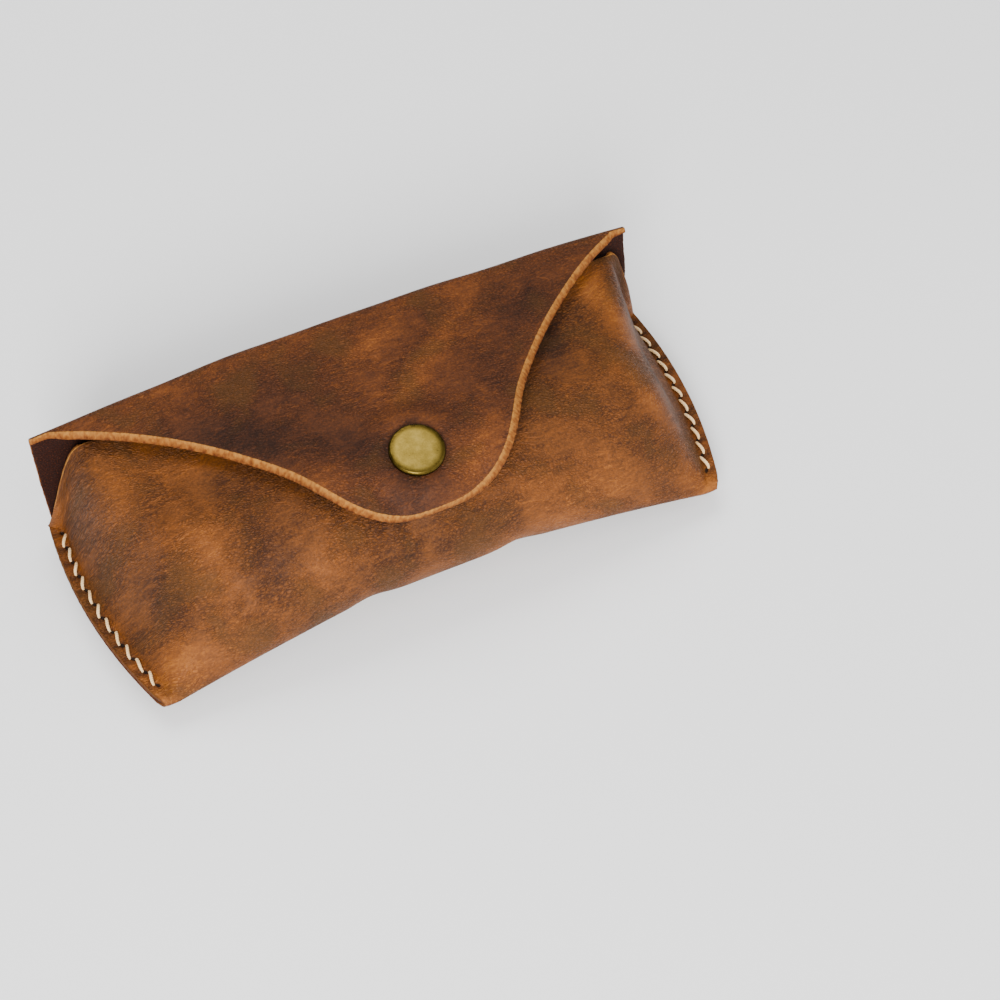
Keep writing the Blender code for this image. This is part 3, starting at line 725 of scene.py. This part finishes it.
def build_pouch(material):
    grid, share = pouch_grid()
    rows = grid.shape[0]
    y = grid[..., 1]
    z = grid[..., 2]
    stitch, from_line = seam_fields(grid, share)
    margin = 1.0 - smooth((from_line - 0.4) / 3.0)
    row = np.arange(rows)[:, None] * np.ones_like(share)
    ends = np.where((row < 6) | (row > rows - 2), 1.0, 0.0)
    back = np.where(z < HALF + 0.2, 1.0, 0.0)
    grid = soften(grid, 9, np.clip(margin + ends + back, 0.0, 1.0))
    grid = flatten_round_snap(grid, -LEATHER - SNAP_STACK - HALF)

    normal = sheet_normals(grid)
    x = grid[..., 0]
    front = smooth((z - 4.0) / 8.0) * (1.0 - margin)
    near_snap = bump(np.hypot(x, y - SNAP_DEPTH), 20.0)
    sway = 0.5 * drift(x, y + z, 1.0) * front * (1.0 - near_snap)
    # dents over the lower rivets, hollow end walls, and the soft ridges beside them
    for side in (-1.0, 1.0):
        sway -= 1.1 * bump(x - side * RIVET_X, 5.0) * bump(y - 3.4, 3.0) * bump(z - 7.0, 5.0)
    sway -= 1.6 * bump(x - 82.0, 5.0) * bump(y - 42.0, 20.0) * front
    sway += 0.7 * bump(x - 71.0, 5.0) * bump(y - 40.0, 26.0) * front
    sway -= 1.0 * bump(x + 73.0, 7.0) * bump(y - 18.0, 18.0) * front
    sway += 0.6 * bump(x + 60.0, 7.0) * bump(y - 22.0, 22.0) * front
    grid = grid + normal * sway[..., None]

    # the thread draws the two layers in, and each hole dents the margin
    in_row = smooth((stitch + 0.6) * 2.0) * smooth((STITCHES + 0.6 - stitch) * 2.0)
    groove = 0.3 * bump(from_line, 1.1) * in_row
    step = (stitch - np.round(stitch)) * (STITCH_LAST - STITCH_FIRST) / STITCHES
    outside = 1.0 - smooth((from_line + 0.2) / 1.6)
    dent = 0.45 * bump(step, 1.2) * outside * smooth((from_line + 3.2) / 1.2) * in_row
    edge_drop = 0.18 * (1.0 - smooth((from_line + 3.0) / 1.6))
    outer_side = np.where(from_line < 3.5, 1.0, 0.0)
    sink = (groove + dent + edge_drop) * outer_side
    flat = np.stack((x, along_rows(grid)), axis=2)
    tone = patches(x, y, FRONT_SPOTS) * smooth((z - 12.0) / 16.0)
    # painted highlight along the bottom fold, which faces the light
    fold = bump(z - 12.0, 9.0) * bump(y - 3.0, 8.0) * (1.0 - margin)
    tone += 0.5 * fold * (0.6 + 0.4 * np.sin(x / 17.0))
    tone += 0.5 * margin * smooth((z - HALF) / 1.0)
    # painted highlight on the lower corners at both ends
    tone += 0.45 * bump(y - 4.0, 7.0) * smooth((np.abs(x) - 64.0) / 14.0)
    # painted shade in the dents between the holes
    tone -= 1.9 * dent
    # painted shade on the back panel, which faces the floor
    tone -= 0.25 * (z < 2.0)
    red = 0.25 - 0.2 * smooth((z - 4.0) / 10.0)
    raw = np.where(from_line < 0.0, 0.25, 1.0)
    fields = {"tone": tone, "red": red, "raw": raw,
              "stitch": stitch, "from_line": np.clip(from_line, -9.0, 9.0)}
    piece = leather_sheet("case_leather", grid, flat, material, {0}, fields)

    # only the grain side takes the dents, so the layers never meet
    mesh = piece.data
    count = grid.shape[0] * grid.shape[1]
    co = np.zeros(len(mesh.vertices) * 3)
    mesh.vertices.foreach_get("co", co)
    co = co.reshape(-1, 3)
    co[:count] -= (normal * sink[..., None]).reshape(-1, 3) * MM
    mesh.vertices.foreach_set("co", co.ravel())
    mesh.update()
    return piece


# ---- the hinge wall's foot ----
def build_wall(material):
    """From the middle of the hinge wall, round the low crease, to the pouch."""
    u = stations(*STATIONS)
    turn = CREASE - HALF
    centre = WALL_DEPTH - CREASE
    points = []
    for k in range(18):
        z = lerp(WALL_MIDDLE, CREASE, k / 17.0)
        bow = RIDGE_BOW * smooth((z - CREASE) / (RIDGE_HEIGHT - 2.0 * CREASE))
        points.append((WALL_DEPTH - HALF + bow * (1.0 - u * u), z, 1.0))
    for k in range(1, 15):
        a = -math.pi / 2.0 * k / 14.0
        points.append((centre + turn * math.cos(a) + 0.0 * u, CREASE + turn * math.sin(a), 0.0))
    for k in range(1, 4):
        points.append((lerp(centre, BACK_END, k / 3.0) + 0.0 * u, HALF, 0.0))
    rows = []
    for y, z, wall in points:
        across = wall_across(u, z) if wall else u * half_width(y)
        rows.append(np.stack((across, y, np.full_like(u, z)), axis=1))
    grid = np.array(rows)
    path = along_rows(grid)
    flat = np.stack((grid[..., 0], path - path[-1]), axis=2)
    y = grid[..., 1]
    tone = 0.35 * bump(y - WALL_DEPTH + 1.0, 1.6) * bump(grid[..., 2] - 1.5, 2.5) - 0.2
    fields = {"tone": tone, "red": 0.35, "raw": np.ones_like(y)}
    piece = leather_sheet("hinge_leather", grid, flat, material,
                          {0, grid.shape[0] - 1}, fields)
    return piece, float(path[-1].mean())


# ---- the flap's leather ----
def ridge_place(u):
    bow = 1.0 - u * u
    return WALL_DEPTH + RIDGE_BOW * bow, RIDGE_HEIGHT + RIDGE_LIFT * bow


def u_of(x):
    """Share of the half length at x on the ridge, with its shift taken off."""
    u = x / FLAP_HALF
    return u - RIDGE_SHIFT / FLAP_HALF * u ** 4


def wall_across(u, z):
    """Place across the hinge wall at height z."""
    return u * WALL_HALF + RIDGE_SHIFT * u ** 4 * z / (RIDGE_HEIGHT + RIDGE_LIFT)


def flap_outline(count):
    """Points (across, down) of half the flap's edge, from the tip to a wing."""
    t = np.linspace(0.0, 1.0, count + 1)
    flank = np.array(FLAP_SHOULDER)
    run = np.array((FLAP_SHOULDER_RUN[0], -FLAP_SHOULDER_RUN[1]))
    tongue = bezier((0.0, FLAP_LENGTH), (FLAP_TIP_PULL, FLAP_LENGTH),
                    flank - run, flank, t)
    wing = bezier(flank, flank + run, FLAP_WING_PULL, (FLAP_HALF, FLAP_WING_END), t)
    return np.vstack((tongue, wing[1:]))


def flap_section(x, down):
    """Depth and height of the flap's middle surface at rows down the leather."""
    u = x / FLAP_HALF
    depth, height = ridge_place(u)
    turn = CREASE - HALF
    arc = turn * math.pi / 2.0
    angle = np.clip(down / turn, 0.0, math.pi / 2.0)
    flat_run = np.maximum(down - arc, 0.0)
    y = depth - CREASE + turn * np.cos(angle) - flat_run
    top = lerp(height, FLAP_TOP, smooth((depth - y) / 40.0) * smooth(1.5 - 3.0 * abs(u)))
    z = np.where(flat_run > 0.0, top - HALF, height - CREASE + turn * np.sin(angle))
    a = np.clip((BEND_DEPTH - y) / BEND_RADIUS, 0.0, 1.4)
    z = z - (BEND_RADIUS - HALF) * (1.0 - np.cos(a))
    y = np.where(y < BEND_DEPTH, BEND_DEPTH - (BEND_RADIUS - HALF) * np.sin(a), y)
    return y, z


FLAP_SPOTS = (
    (-66.0, 60.0, 16.0, 5.0, 10.0, 0.3),
    (-38.0, 42.0, 18.0, 7.0, -30.0, -0.8),     # dark along the left wing
    (-24.0, 52.0, 14.0, 5.0, 20.0, -0.2),
    (-12.0, 26.0, 12.0, 6.0, -40.0, -0.5),
    (-26.0, 20.0, 9.0, 5.0, -30.0, 0.35),
    (4.0, 58.0, 10.0, 4.0, 10.0, 0.6),
    (22.0, 52.0, 26.0, 3.5, 38.0, 0.5),        # drawn crease, rubbed light
    (8.0, 40.0, 14.0, 3.0, 40.0, 0.4),
    (14.0, 14.0, 12.0, 4.0, 38.0, 0.7),
    (46.0, 52.0, 14.0, 6.0, 30.0, -0.45),
    (30.0, 34.0, 10.0, 6.0, 60.0, -0.25),
    (-4.0, 9.0, 14.0, 6.0, 0.0, -0.35),
    (62.0, 66.0, 14.0, 4.0, 0.0, -0.3),
)


def build_flap(material, wall_length):
    """From the tip of the tongue, over the ridge, to the middle of the wall."""
    edge = flap_outline(76)
    shift = FLAP_SKEW * np.sin(np.pi * np.clip(edge[:, 0] / FLAP_HALF, 0.0, 1.0))
    shift = shift + RIDGE_SHIFT * (edge[:, 0] / FLAP_HALF) ** 4
    right = np.column_stack((edge[:, 0] + shift, edge[:, 1]))
    left = np.column_stack((-edge[:, 0] + shift, edge[:, 1]))
    outline = np.vstack((left[:0:-1], right))
    arc = (CREASE - HALF) * math.pi / 2.0
    before = (CREASE - HALF) * math.pi / 4.0
    columns = []
    for x, down in outline:
        reach = max(down - CREASE + before - FLARE / 2.0, 0.9) + before
        bend = min(arc, lerp(before, reach, 0.6))
        rows = np.concatenate((lerp(bend, reach, np.linspace(1.0, 0.0, TONGUE_ROWS)),
                               lerp(0.0, bend, np.linspace(1.0, 0.0, RIDGE_ROWS))[1:]))
        y, z = flap_section(x, rows)
        u = x / FLAP_HALF
        depth, height = ridge_place(u)
        wall = np.linspace(height - CREASE, WALL_MIDDLE, 18)[1:]
        share = (wall - CREASE) / (height - 2.0 * CREASE)
        lift = smooth((wall - WALL_MIDDLE) / (height - CREASE - WALL_MIDDLE))
        at_middle = wall_across(u_of(x), WALL_MIDDLE)
        wall_y = lerp(WALL_DEPTH, depth, smooth(share)) - HALF
        column = np.column_stack((np.full_like(y, x), y, z))
        lower = np.column_stack((lerp(at_middle, x, lift), wall_y, wall))
        columns.append(np.vstack((column, lower)))
    grid = np.array(columns).transpose(1, 0, 2)
    ridge_row = TONGUE_ROWS + RIDGE_ROWS - 1
    row = np.arange(grid.shape[0])[:, None] * np.ones(grid.shape[1])
    keep = np.where((row < 2) | (row > ridge_row - 2), 1.0, 0.0)
    keep = np.maximum(keep, 1.0 - smooth((outline[:, 1] - 6.0) / 8.0))
    grid = soften(grid, 10, keep)
    grid = flatten_round_snap(grid, -HALF)
    x, y, z = grid[..., 0], grid[..., 1], grid[..., 2]
    normal = sheet_normals(grid)
    near_snap = bump(np.hypot(x, y - SNAP_DEPTH), 16.0)
    above = smooth((z - 24.0) / 6.0) * (1.0 - near_snap)
    sway = 0.32 * drift(x, y, 2.6) * above
    ring = bump(np.hypot(x, y - SNAP_DEPTH) - CAP_RADIUS, 1.8)
    sway -= 0.16 * ring
    grid = grid + normal * sway[..., None]
    path = along_rows(grid)
    offset = -wall_length - path[-1]
    flat = np.stack((x, path + offset), axis=2)
    on_top = smooth((z - 24.0) / 6.0)
    tone = patches(x, y, FLAP_SPOTS) * on_top - 0.03
    tone += 0.3 * bump(y - RIDGE_DEPTH + 4.0, 4.5) * on_top
    # painted shade in a ring round the cap's foot
    tone -= 0.15 * bump(np.hypot(x, y - SNAP_DEPTH) - CAP_RADIUS - 0.6, 1.0)
    red = 0.75 * on_top + 0.3
    fields = {"tone": tone, "red": red, "raw": np.ones_like(x)}
    last = grid.shape[0] - 1
    slant = FLARE * smooth((FLAP_HALF - np.abs(x)) / 9.0) + 0.9 * bump(x[:1] - 8.0, 24.0)
    flare = lerp(EDGE, slant, 1.0 - smooth((row - 2.0) / 30.0))
    return leather_sheet("flap_leather", grid, flat, material, {last}, fields, flare)


# ---- belt loop ----
def build_belt_loop(material):
    tail = -CLEAR - HALF
    low = -LOOP_BOW - HALF
    depth = np.linspace(LOOP_FROM, LOOP_TO, 90)
    from_end = np.minimum(depth - LOOP_FROM, LOOP_TO - depth)
    z = lerp(tail, low, smooth((from_end - LOOP_TAIL) / LOOP_RAMP))
    corner = 3.5
    round_off = corner - np.sqrt(np.clip(corner ** 2 - np.clip(corner - from_end, 0.0, corner) ** 2,
                                         0.0, None))
    across = np.linspace(-1.0, 1.0, 70)
    half = LOOP_WIDTH / 2.0 - 0.25 - round_off
    grid = np.stack((half[:, None] * across, depth[:, None] * np.ones_like(across),
                     z[:, None] * np.ones_like(across)), axis=2)[::-1]
    path = along_rows(grid)
    x, y = grid[..., 0], grid[..., 1]
    edge_line = LOOP_WIDTH / 2.0 - np.abs(x)
    tone = 0.3 * bump(z[::-1][:, None] * np.ones_like(x) - tail - 1.2, 1.6)
    tone = tone + 0.25 * bump(edge_line, 2.0) - 0.1
    # painted shade in a ring round each rivet cap's foot
    for px in (-RIVET_X, RIVET_X):
        for py in (LOOP_FROM + RIVET_INSET, LOOP_TO - RIVET_INSET):
            tone = tone - 0.4 * bump(np.hypot(x - px, y - py) - RIVET_CAP_RADIUS, 1.2)
    flat = np.stack((x + 12.0, path + 60.0), axis=2)
    fields = {"tone": tone, "red": 0.3, "raw": np.ones_like(x)}
    return leather_sheet("belt_loop_leather", grid, flat, material, (), fields)


# ---- modelling by hand ----
def clear_selection():
    if bpy.context.object and bpy.context.object.mode != "OBJECT":
        bpy.ops.object.mode_set(mode="OBJECT")
    bpy.ops.object.select_all(action="DESELECT")


def settle(piece, matrix, material, angle=40.0):
    """Put a piece in its place, its place in its mesh, and shade it."""
    piece.matrix_world = matrix
    clear_selection()
    piece.select_set(True)
    bpy.context.view_layer.objects.active = piece
    bpy.ops.object.transform_apply(location=True, rotation=True, scale=True)
    bpy.ops.object.shade_smooth_by_angle(angle=math.radians(angle))
    piece.data.materials.clear()
    piece.data.materials.append(material)
    clear_selection()
    return piece


def ring_from(name, radius, height, sides, fill):
    clear_selection()
    bpy.ops.mesh.primitive_circle_add(vertices=sides, radius=radius * MM, fill_type=fill,
                                      location=(0.0, 0.0, 0.0))
    piece = bpy.context.object
    piece.name = name
    bpy.ops.object.mode_set(mode="EDIT")
    bpy.ops.mesh.select_all(action="SELECT")
    bpy.ops.transform.translate(value=(0.0, 0.0, height * MM))
    return piece


def draw_out(profile):
    """Extrude the selected ring through a profile of (radius, height) pairs."""
    for (radius, height), (wider, higher) in zip(profile, profile[1:]):
        bpy.ops.mesh.extrude_region_move(
            TRANSFORM_OT_translate={"value": (0.0, 0.0, (higher - height) * MM)})
        scale = wider / radius
        bpy.ops.transform.resize(value=(scale, scale, 1.0),
                                 center_override=(0.0, 0.0, higher * MM))


def turned_solid(name, profile, sides=ROUND):
    """A solid turned round +Z, closed by a face at both ends of its profile."""
    piece = ring_from(name, *profile[0], sides, "NGON")
    draw_out(profile)
    bpy.ops.mesh.select_all(action="SELECT")
    bpy.ops.mesh.normals_make_consistent(inside=False)
    bpy.ops.object.mode_set(mode="OBJECT")
    return piece


def turned_ring(name, profile, sides=ROUND):
    """A ring turned round +Z from a profile that comes back to its start."""
    piece = ring_from(name, *profile[0], sides, "NOTHING")
    draw_out(profile + [profile[0]])
    bpy.ops.mesh.select_all(action="SELECT")
    bpy.ops.mesh.remove_doubles(threshold=0.000001)
    bpy.ops.mesh.normals_make_consistent(inside=False)
    bpy.ops.object.mode_set(mode="OBJECT")
    return piece


def arc(centre, level, radius, start, end, count):
    """Profile points on an arc, angles in degrees from straight out."""
    points = []
    for k in range(count + 1):
        a = math.radians(lerp(start, end, k / count))
        points.append((centre + radius * math.cos(a), level + radius * math.sin(a)))
    return points


def in_case(matrix):
    """A case frame in millimetres as a world matrix in metres."""
    move = Matrix.Translation(CASE + matrix.translation * MM)
    return move @ matrix.to_3x3().to_4x4()


def copy_of(piece, name):
    twin = piece.copy()
    twin.data = piece.data.copy()
    twin.name = name
    bpy.context.scene.collection.objects.link(twin)
    return twin


# ---- snap ----
def build_snap(brass, inner_brass, steel):
    place = in_case(snap_frame())
    inner = -LEATHER
    post = 1.8
    socket_top = inner - SEAT
    socket_end = inner - SNAP_STACK + 0.9
    post_end = socket_top - CLEAR
    top = SEAT + CAP_HEIGHT
    # the flat face turns down over a soft shoulder to a curled lip
    shoulder = arc(CAP_RADIUS - 0.9, top - 0.9, 0.9, 0.0, 78.0, 10)
    lip = arc(CAP_RADIUS - 0.32, SEAT - 0.1, 0.3, -90.0, 0.0, 5)
    face = [(6.1, top + 0.05), (5.4, top + 0.12), (4.6, top + 0.14), (2.6, top + 0.16),
            (0.8, top + 0.17)]
    cap = turned_solid("snap_cap_face", [(post - 0.6, post_end), (post, post_end + 0.3),
                                         (post, SEAT)] + lip + shoulder + face)
    settle(cap, place, brass)
    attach(cap, "flap")
    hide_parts("snap_cap")

    bore = 2.8
    groove = 3.5
    low = socket_end + 0.5
    high = low + 0.8
    socket = turned_ring("snap_socket_shell", [
        (post + CLEAR, socket_top), (5.6, socket_top), (6.0, socket_top - 0.12),
        (6.2, socket_top - 0.4), (6.2, socket_end + 1.1), (6.0, socket_end + 0.75),
        (5.2, socket_end + 0.35), (4.6, socket_end + 0.1), (4.2, socket_end),
        (3.2, socket_end), (2.9, socket_end + 0.1), (bore, socket_end + 0.25),
        (bore, low), (groove, low), (groove, high), (bore, high),
        (bore, post_end - 0.1), (post + CLEAR, post_end - 0.1)])
    settle(socket, place, inner_brass)
    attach(socket, "flap")
    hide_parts("snap_socket")

    middle = (low + high) / 2.0
    wire = arc(3.1, middle, 0.22, 0.0, 345.0, 15)
    spring = turned_ring("snap_spring_wire", wire)
    settle(spring, place, steel)
    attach(spring, "flap")
    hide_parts("snap_spring")

    front = inner - SNAP_STACK
    base = front + SEAT
    head = post_end - 0.5
    knob = arc(1.65, head - 0.45, 0.45, 0.0, 90.0, 5)
    stud = turned_ring("snap_stud_knob", [
        (2.1, base), (5.0, base), (5.2, base + 0.12), (5.2, base + 0.3),
        (4.9, base + 0.45), (4.4, base + 0.5), (2.2, base + 0.52), (1.9, base + 0.7),
        (1.75, head - 1.1), (2.0, head - 0.75)] + knob + [(1.2, head), (1.2, base + 0.4)])
    settle(stud, place, inner_brass)
    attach(stud, "pouch")
    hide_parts("snap_stud")

    back = front - LEATHER - SEAT
    flange = arc(4.7, back - 0.3, 0.3, -90.0, 90.0, 6)
    eyelet = turned_ring("snap_eyelet_barrel", [(0.9, back - 0.6)] + flange + [
        (post, back), (post, front + SEAT), (0.9, front + SEAT)])
    settle(eyelet, place, inner_brass)
    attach(eyelet, "pouch")
    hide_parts("snap_eyelet")


# ---- rivets ----
def build_rivets(brass):
    face = -CLEAR - LEATHER - SEAT
    end = face - RIVET_CAP_HEIGHT
    pocket = RIVET_POST_RADIUS + CLEAR
    rim = [(pocket, face - 0.9), (pocket, face), (RIVET_CAP_RADIUS - 0.5, face)]
    rim += arc(RIVET_CAP_RADIUS - 0.4, face - 0.4, 0.4, 80.0, -30.0, 6)
    dome = [(4.2, end + 0.42), (3.3, end + 0.2), (2.2, end + 0.07), (1.0, end + 0.01)]
    cap = turned_solid("rivet_cap_shell", rim + dome, 48)
    head = LEATHER + RIVET_HEAD_GAP
    low = face - 0.9 + CLEAR
    tip = head + RIVET_HEAD_HEIGHT
    post = turned_solid("rivet_post_shell", [
        (RIVET_POST_RADIUS - 0.3, low), (RIVET_POST_RADIUS, low + 0.3),
        (RIVET_POST_RADIUS, head), (RIVET_HEAD_RADIUS - 0.1, head),
        (RIVET_HEAD_RADIUS, head + 0.15), (RIVET_HEAD_RADIUS - 0.05, head + 0.3),
        (2.8, tip - 0.15), (1.8, tip - 0.03), (0.8, tip)], 48)
    number = 0
    for y in (LOOP_FROM + RIVET_INSET, LOOP_TO - RIVET_INSET):
        for x in (-RIVET_X, RIVET_X):
            number += 1
            place = in_case(Matrix.Translation((x, y, 0.0)))
            for model, node in ((cap, "rivet_cap"), (post, "rivet_post")):
                twin = copy_of(model, f"{node}_face_{number}")
                settle(twin, place, brass)
                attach(twin, "pouch")
                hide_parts(f"{node}_{number}")
    bpy.data.objects.remove(cap)
    bpy.data.objects.remove(post)


# ---- stitching ----
def model_stitch(length):
    """One saddle stitch along +Y, its ends bent down into their holes."""
    radius = THREAD / 2.0
    path = []
    for k in range(STITCH_STEPS + 1):
        t = k / STITCH_STEPS
        lift = math.sin(math.pi * t) ** 0.5 * 0.95 - 0.72
        slide = 0.62 * math.cos(math.pi * t)
        path.append((slide, (t - 0.5) * length * 0.86, lift))
    clear_selection()
    bpy.ops.mesh.primitive_circle_add(vertices=10, radius=radius * MM, fill_type="NGON",
                                      rotation=(math.pi / 2.0, 0.0, 0.0))
    piece = bpy.context.object
    piece.name = "stitch"
    bpy.ops.object.transform_apply(location=False, rotation=True, scale=False)
    bpy.ops.object.mode_set(mode="EDIT")
    bpy.ops.mesh.select_all(action="SELECT")
    bpy.ops.transform.translate(value=[c * MM for c in path[0]])
    bpy.ops.transform.resize(value=(0.5, 1.0, 0.5))
    for k, (a, b) in enumerate(zip(path, path[1:]), start=1):
        step = [(q - p) * MM for p, q in zip(a, b)]
        bpy.ops.mesh.extrude_region_move(TRANSFORM_OT_translate={"value": step})
        before = 0.5 + 0.5 * math.sin(math.pi * (k - 1) / STITCH_STEPS) ** 0.5
        after = 0.5 + 0.5 * max(math.sin(math.pi * k / STITCH_STEPS), 0.0) ** 0.5
        scale = after / before
        bpy.ops.transform.resize(value=(scale, 1.0, scale),
                                 center_override=[c * MM for c in b])
    bpy.ops.mesh.select_all(action="SELECT")
    bpy.ops.mesh.normals_make_consistent(inside=False)
    bpy.ops.object.mode_set(mode="OBJECT")
    return piece


def build_stitching(material):
    pitch = (STITCH_LAST - STITCH_FIRST) / STITCHES
    model = model_stitch(pitch)
    for name, node, side in (("stitching_left", "thread_left", -1.0),
                             ("stitching_right", "thread_right", 1.0)):
        row = []
        for k in range(STITCHES):
            ends = []
            for hole in (k, k + 1):
                y = STITCH_FIRST + pitch * hole
                ends.append(Vector((side * (float(half_width(y)) - STITCH_INSET), y, 0.0)))
            middle = (ends[0] + ends[1]) / 2.0
            run = ends[1] - ends[0]
            turn = Matrix.Rotation(-math.atan2(run.x, run.y), 4, "Z")
            sway = 0.09 * math.sin(k * 2.4 + side)
            stretch = (Matrix.Rotation(sway, 4, "Z")
                       @ Matrix.Diagonal((side, run.length / pitch * (0.96 + abs(sway) * 0.4),
                                          1.0, 1.0)))
            for level, flip in ((MARGIN_TOP + 0.1, 1.0), (-0.1, -1.0)):
                twin = copy_of(model, "stitch_copy")
                lay = Matrix.Diagonal((1.0, 1.0, flip, 1.0))
                place = Matrix.Translation(CASE + Vector((middle.x, middle.y, level)) * MM)
                twin.data.transform(place @ turn @ stretch @ lay)
                if side * flip < 0.0:
                    twin.data.flip_normals()
                row.append(twin)
        clear_selection()
        for twin in row:
            twin.select_set(True)
        bpy.context.view_layer.objects.active = row[0]
        bpy.ops.object.join()
        piece = row[0]
        piece.name = name
        settle(piece, Matrix.Identity(4), material, 60.0)
        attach(piece, "pouch")
        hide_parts(node)
    bpy.data.objects.remove(model)


# ---- put together ----
def build_leather(material):
    pouch = build_pouch(material)
    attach(pouch, "pouch")
    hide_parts("pouch")

    wall, wall_length = build_wall(material)
    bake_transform(wall)
    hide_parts("spine")

    flap = build_flap(material, wall_length)
    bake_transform(flap)
    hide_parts("flap")

    loop = build_belt_loop(material)
    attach(loop, "pouch")
    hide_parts("belt_loop")


def build_stage():
    """Pale floor, a studio sky and soft lights."""
    clear_selection()
    bpy.ops.mesh.primitive_plane_add(size=6.0, location=(0.0, 0.0, 0.0))
    floor = bpy.context.object
    floor.name = "floor"
    p = Paint("pale_floor")
    floor.data.materials.append(p.finish(Base_Color=(0.95, 0.95, 0.95, 1.0), Roughness=0.9))

    world = bpy.data.worlds.new("studio")
    bpy.context.scene.world = world
    world.use_nodes = True
    sky = world.node_tree
    ray = sky.nodes.new("ShaderNodeTexCoord")
    split = sky.nodes.new("ShaderNodeSeparateXYZ")
    sky.links.new(ray.outputs["Generated"], split.inputs["Vector"])
    front = sky.nodes.new("ShaderNodeMapRange")
    front.interpolation_type = "SMOOTHSTEP"
    for socket, value in (("From Min", -0.75), ("From Max", 0.55), ("To Min", 1.35),
                          ("To Max", 0.3)):
        front.inputs[socket].default_value = value
    sky.links.new(split.outputs["Y"], front.inputs["Value"])
    background = sky.nodes["Background"]
    background.inputs["Color"].default_value = (1.0, 1.0, 1.0, 1.0)
    sky.links.new(front.outputs["Result"], background.inputs["Strength"])

    centre = (CAD_LOW + CAD_HIGH) / 2.0
    for name, place, size, power in (
            ("key", (-0.45, -0.85, 0.62), 0.45, 20.0),
            ("fill", (0.9, -0.5, 0.6), 0.8, 2.5),
            ("top", (0.0, 0.5, 1.1), 0.8, 9.0)):
        light = bpy.data.lights.new(name, "AREA")
        light.size = size
        light.energy = power
        lamp = bpy.data.objects.new(name, light)
        bpy.context.scene.collection.objects.link(lamp)
        lamp.location = centre + Vector(place)
        lamp.rotation_euler = Vector(place).to_track_quat("Z", "Y").to_euler()


def build_camera():
    azimuth, elevation = math.radians(-25.7), math.radians(53.1)
    away = Vector((math.sin(azimuth) * math.cos(elevation),
                   -math.cos(azimuth) * math.cos(elevation), math.sin(elevation)))
    right = Vector((math.cos(azimuth), math.sin(azimuth), 0.0))
    up = away.cross(right)
    aim = CASE + Vector((0.0, 35.0, 15.0)) * MM
    camera = bpy.data.objects.new("camera", bpy.data.cameras.new("camera"))
    bpy.context.scene.collection.objects.link(camera)
    camera.location = aim + (away * 602.85 + right * 28.18 - up * 8.17) * MM
    camera.rotation_euler = (math.pi / 2.0 - elevation, 0.0, azimuth)
    camera.data.sensor_width = 36.0
    camera.data.lens = 36.0 * 2.2255
    bpy.context.scene.camera = camera


build_camera()
build_stage()
build_leather(leather_finish())
build_stitching(thread_finish())
build_snap(brass_finish("antique_brass", 0.32, tuple((CAP_LOW + CAP_HIGH) / 2.0)),
           brass_finish("snap_inside_brass", 0.3),
           steel_finish())
build_rivets(brass_finish("rivet_brass", 0.36))
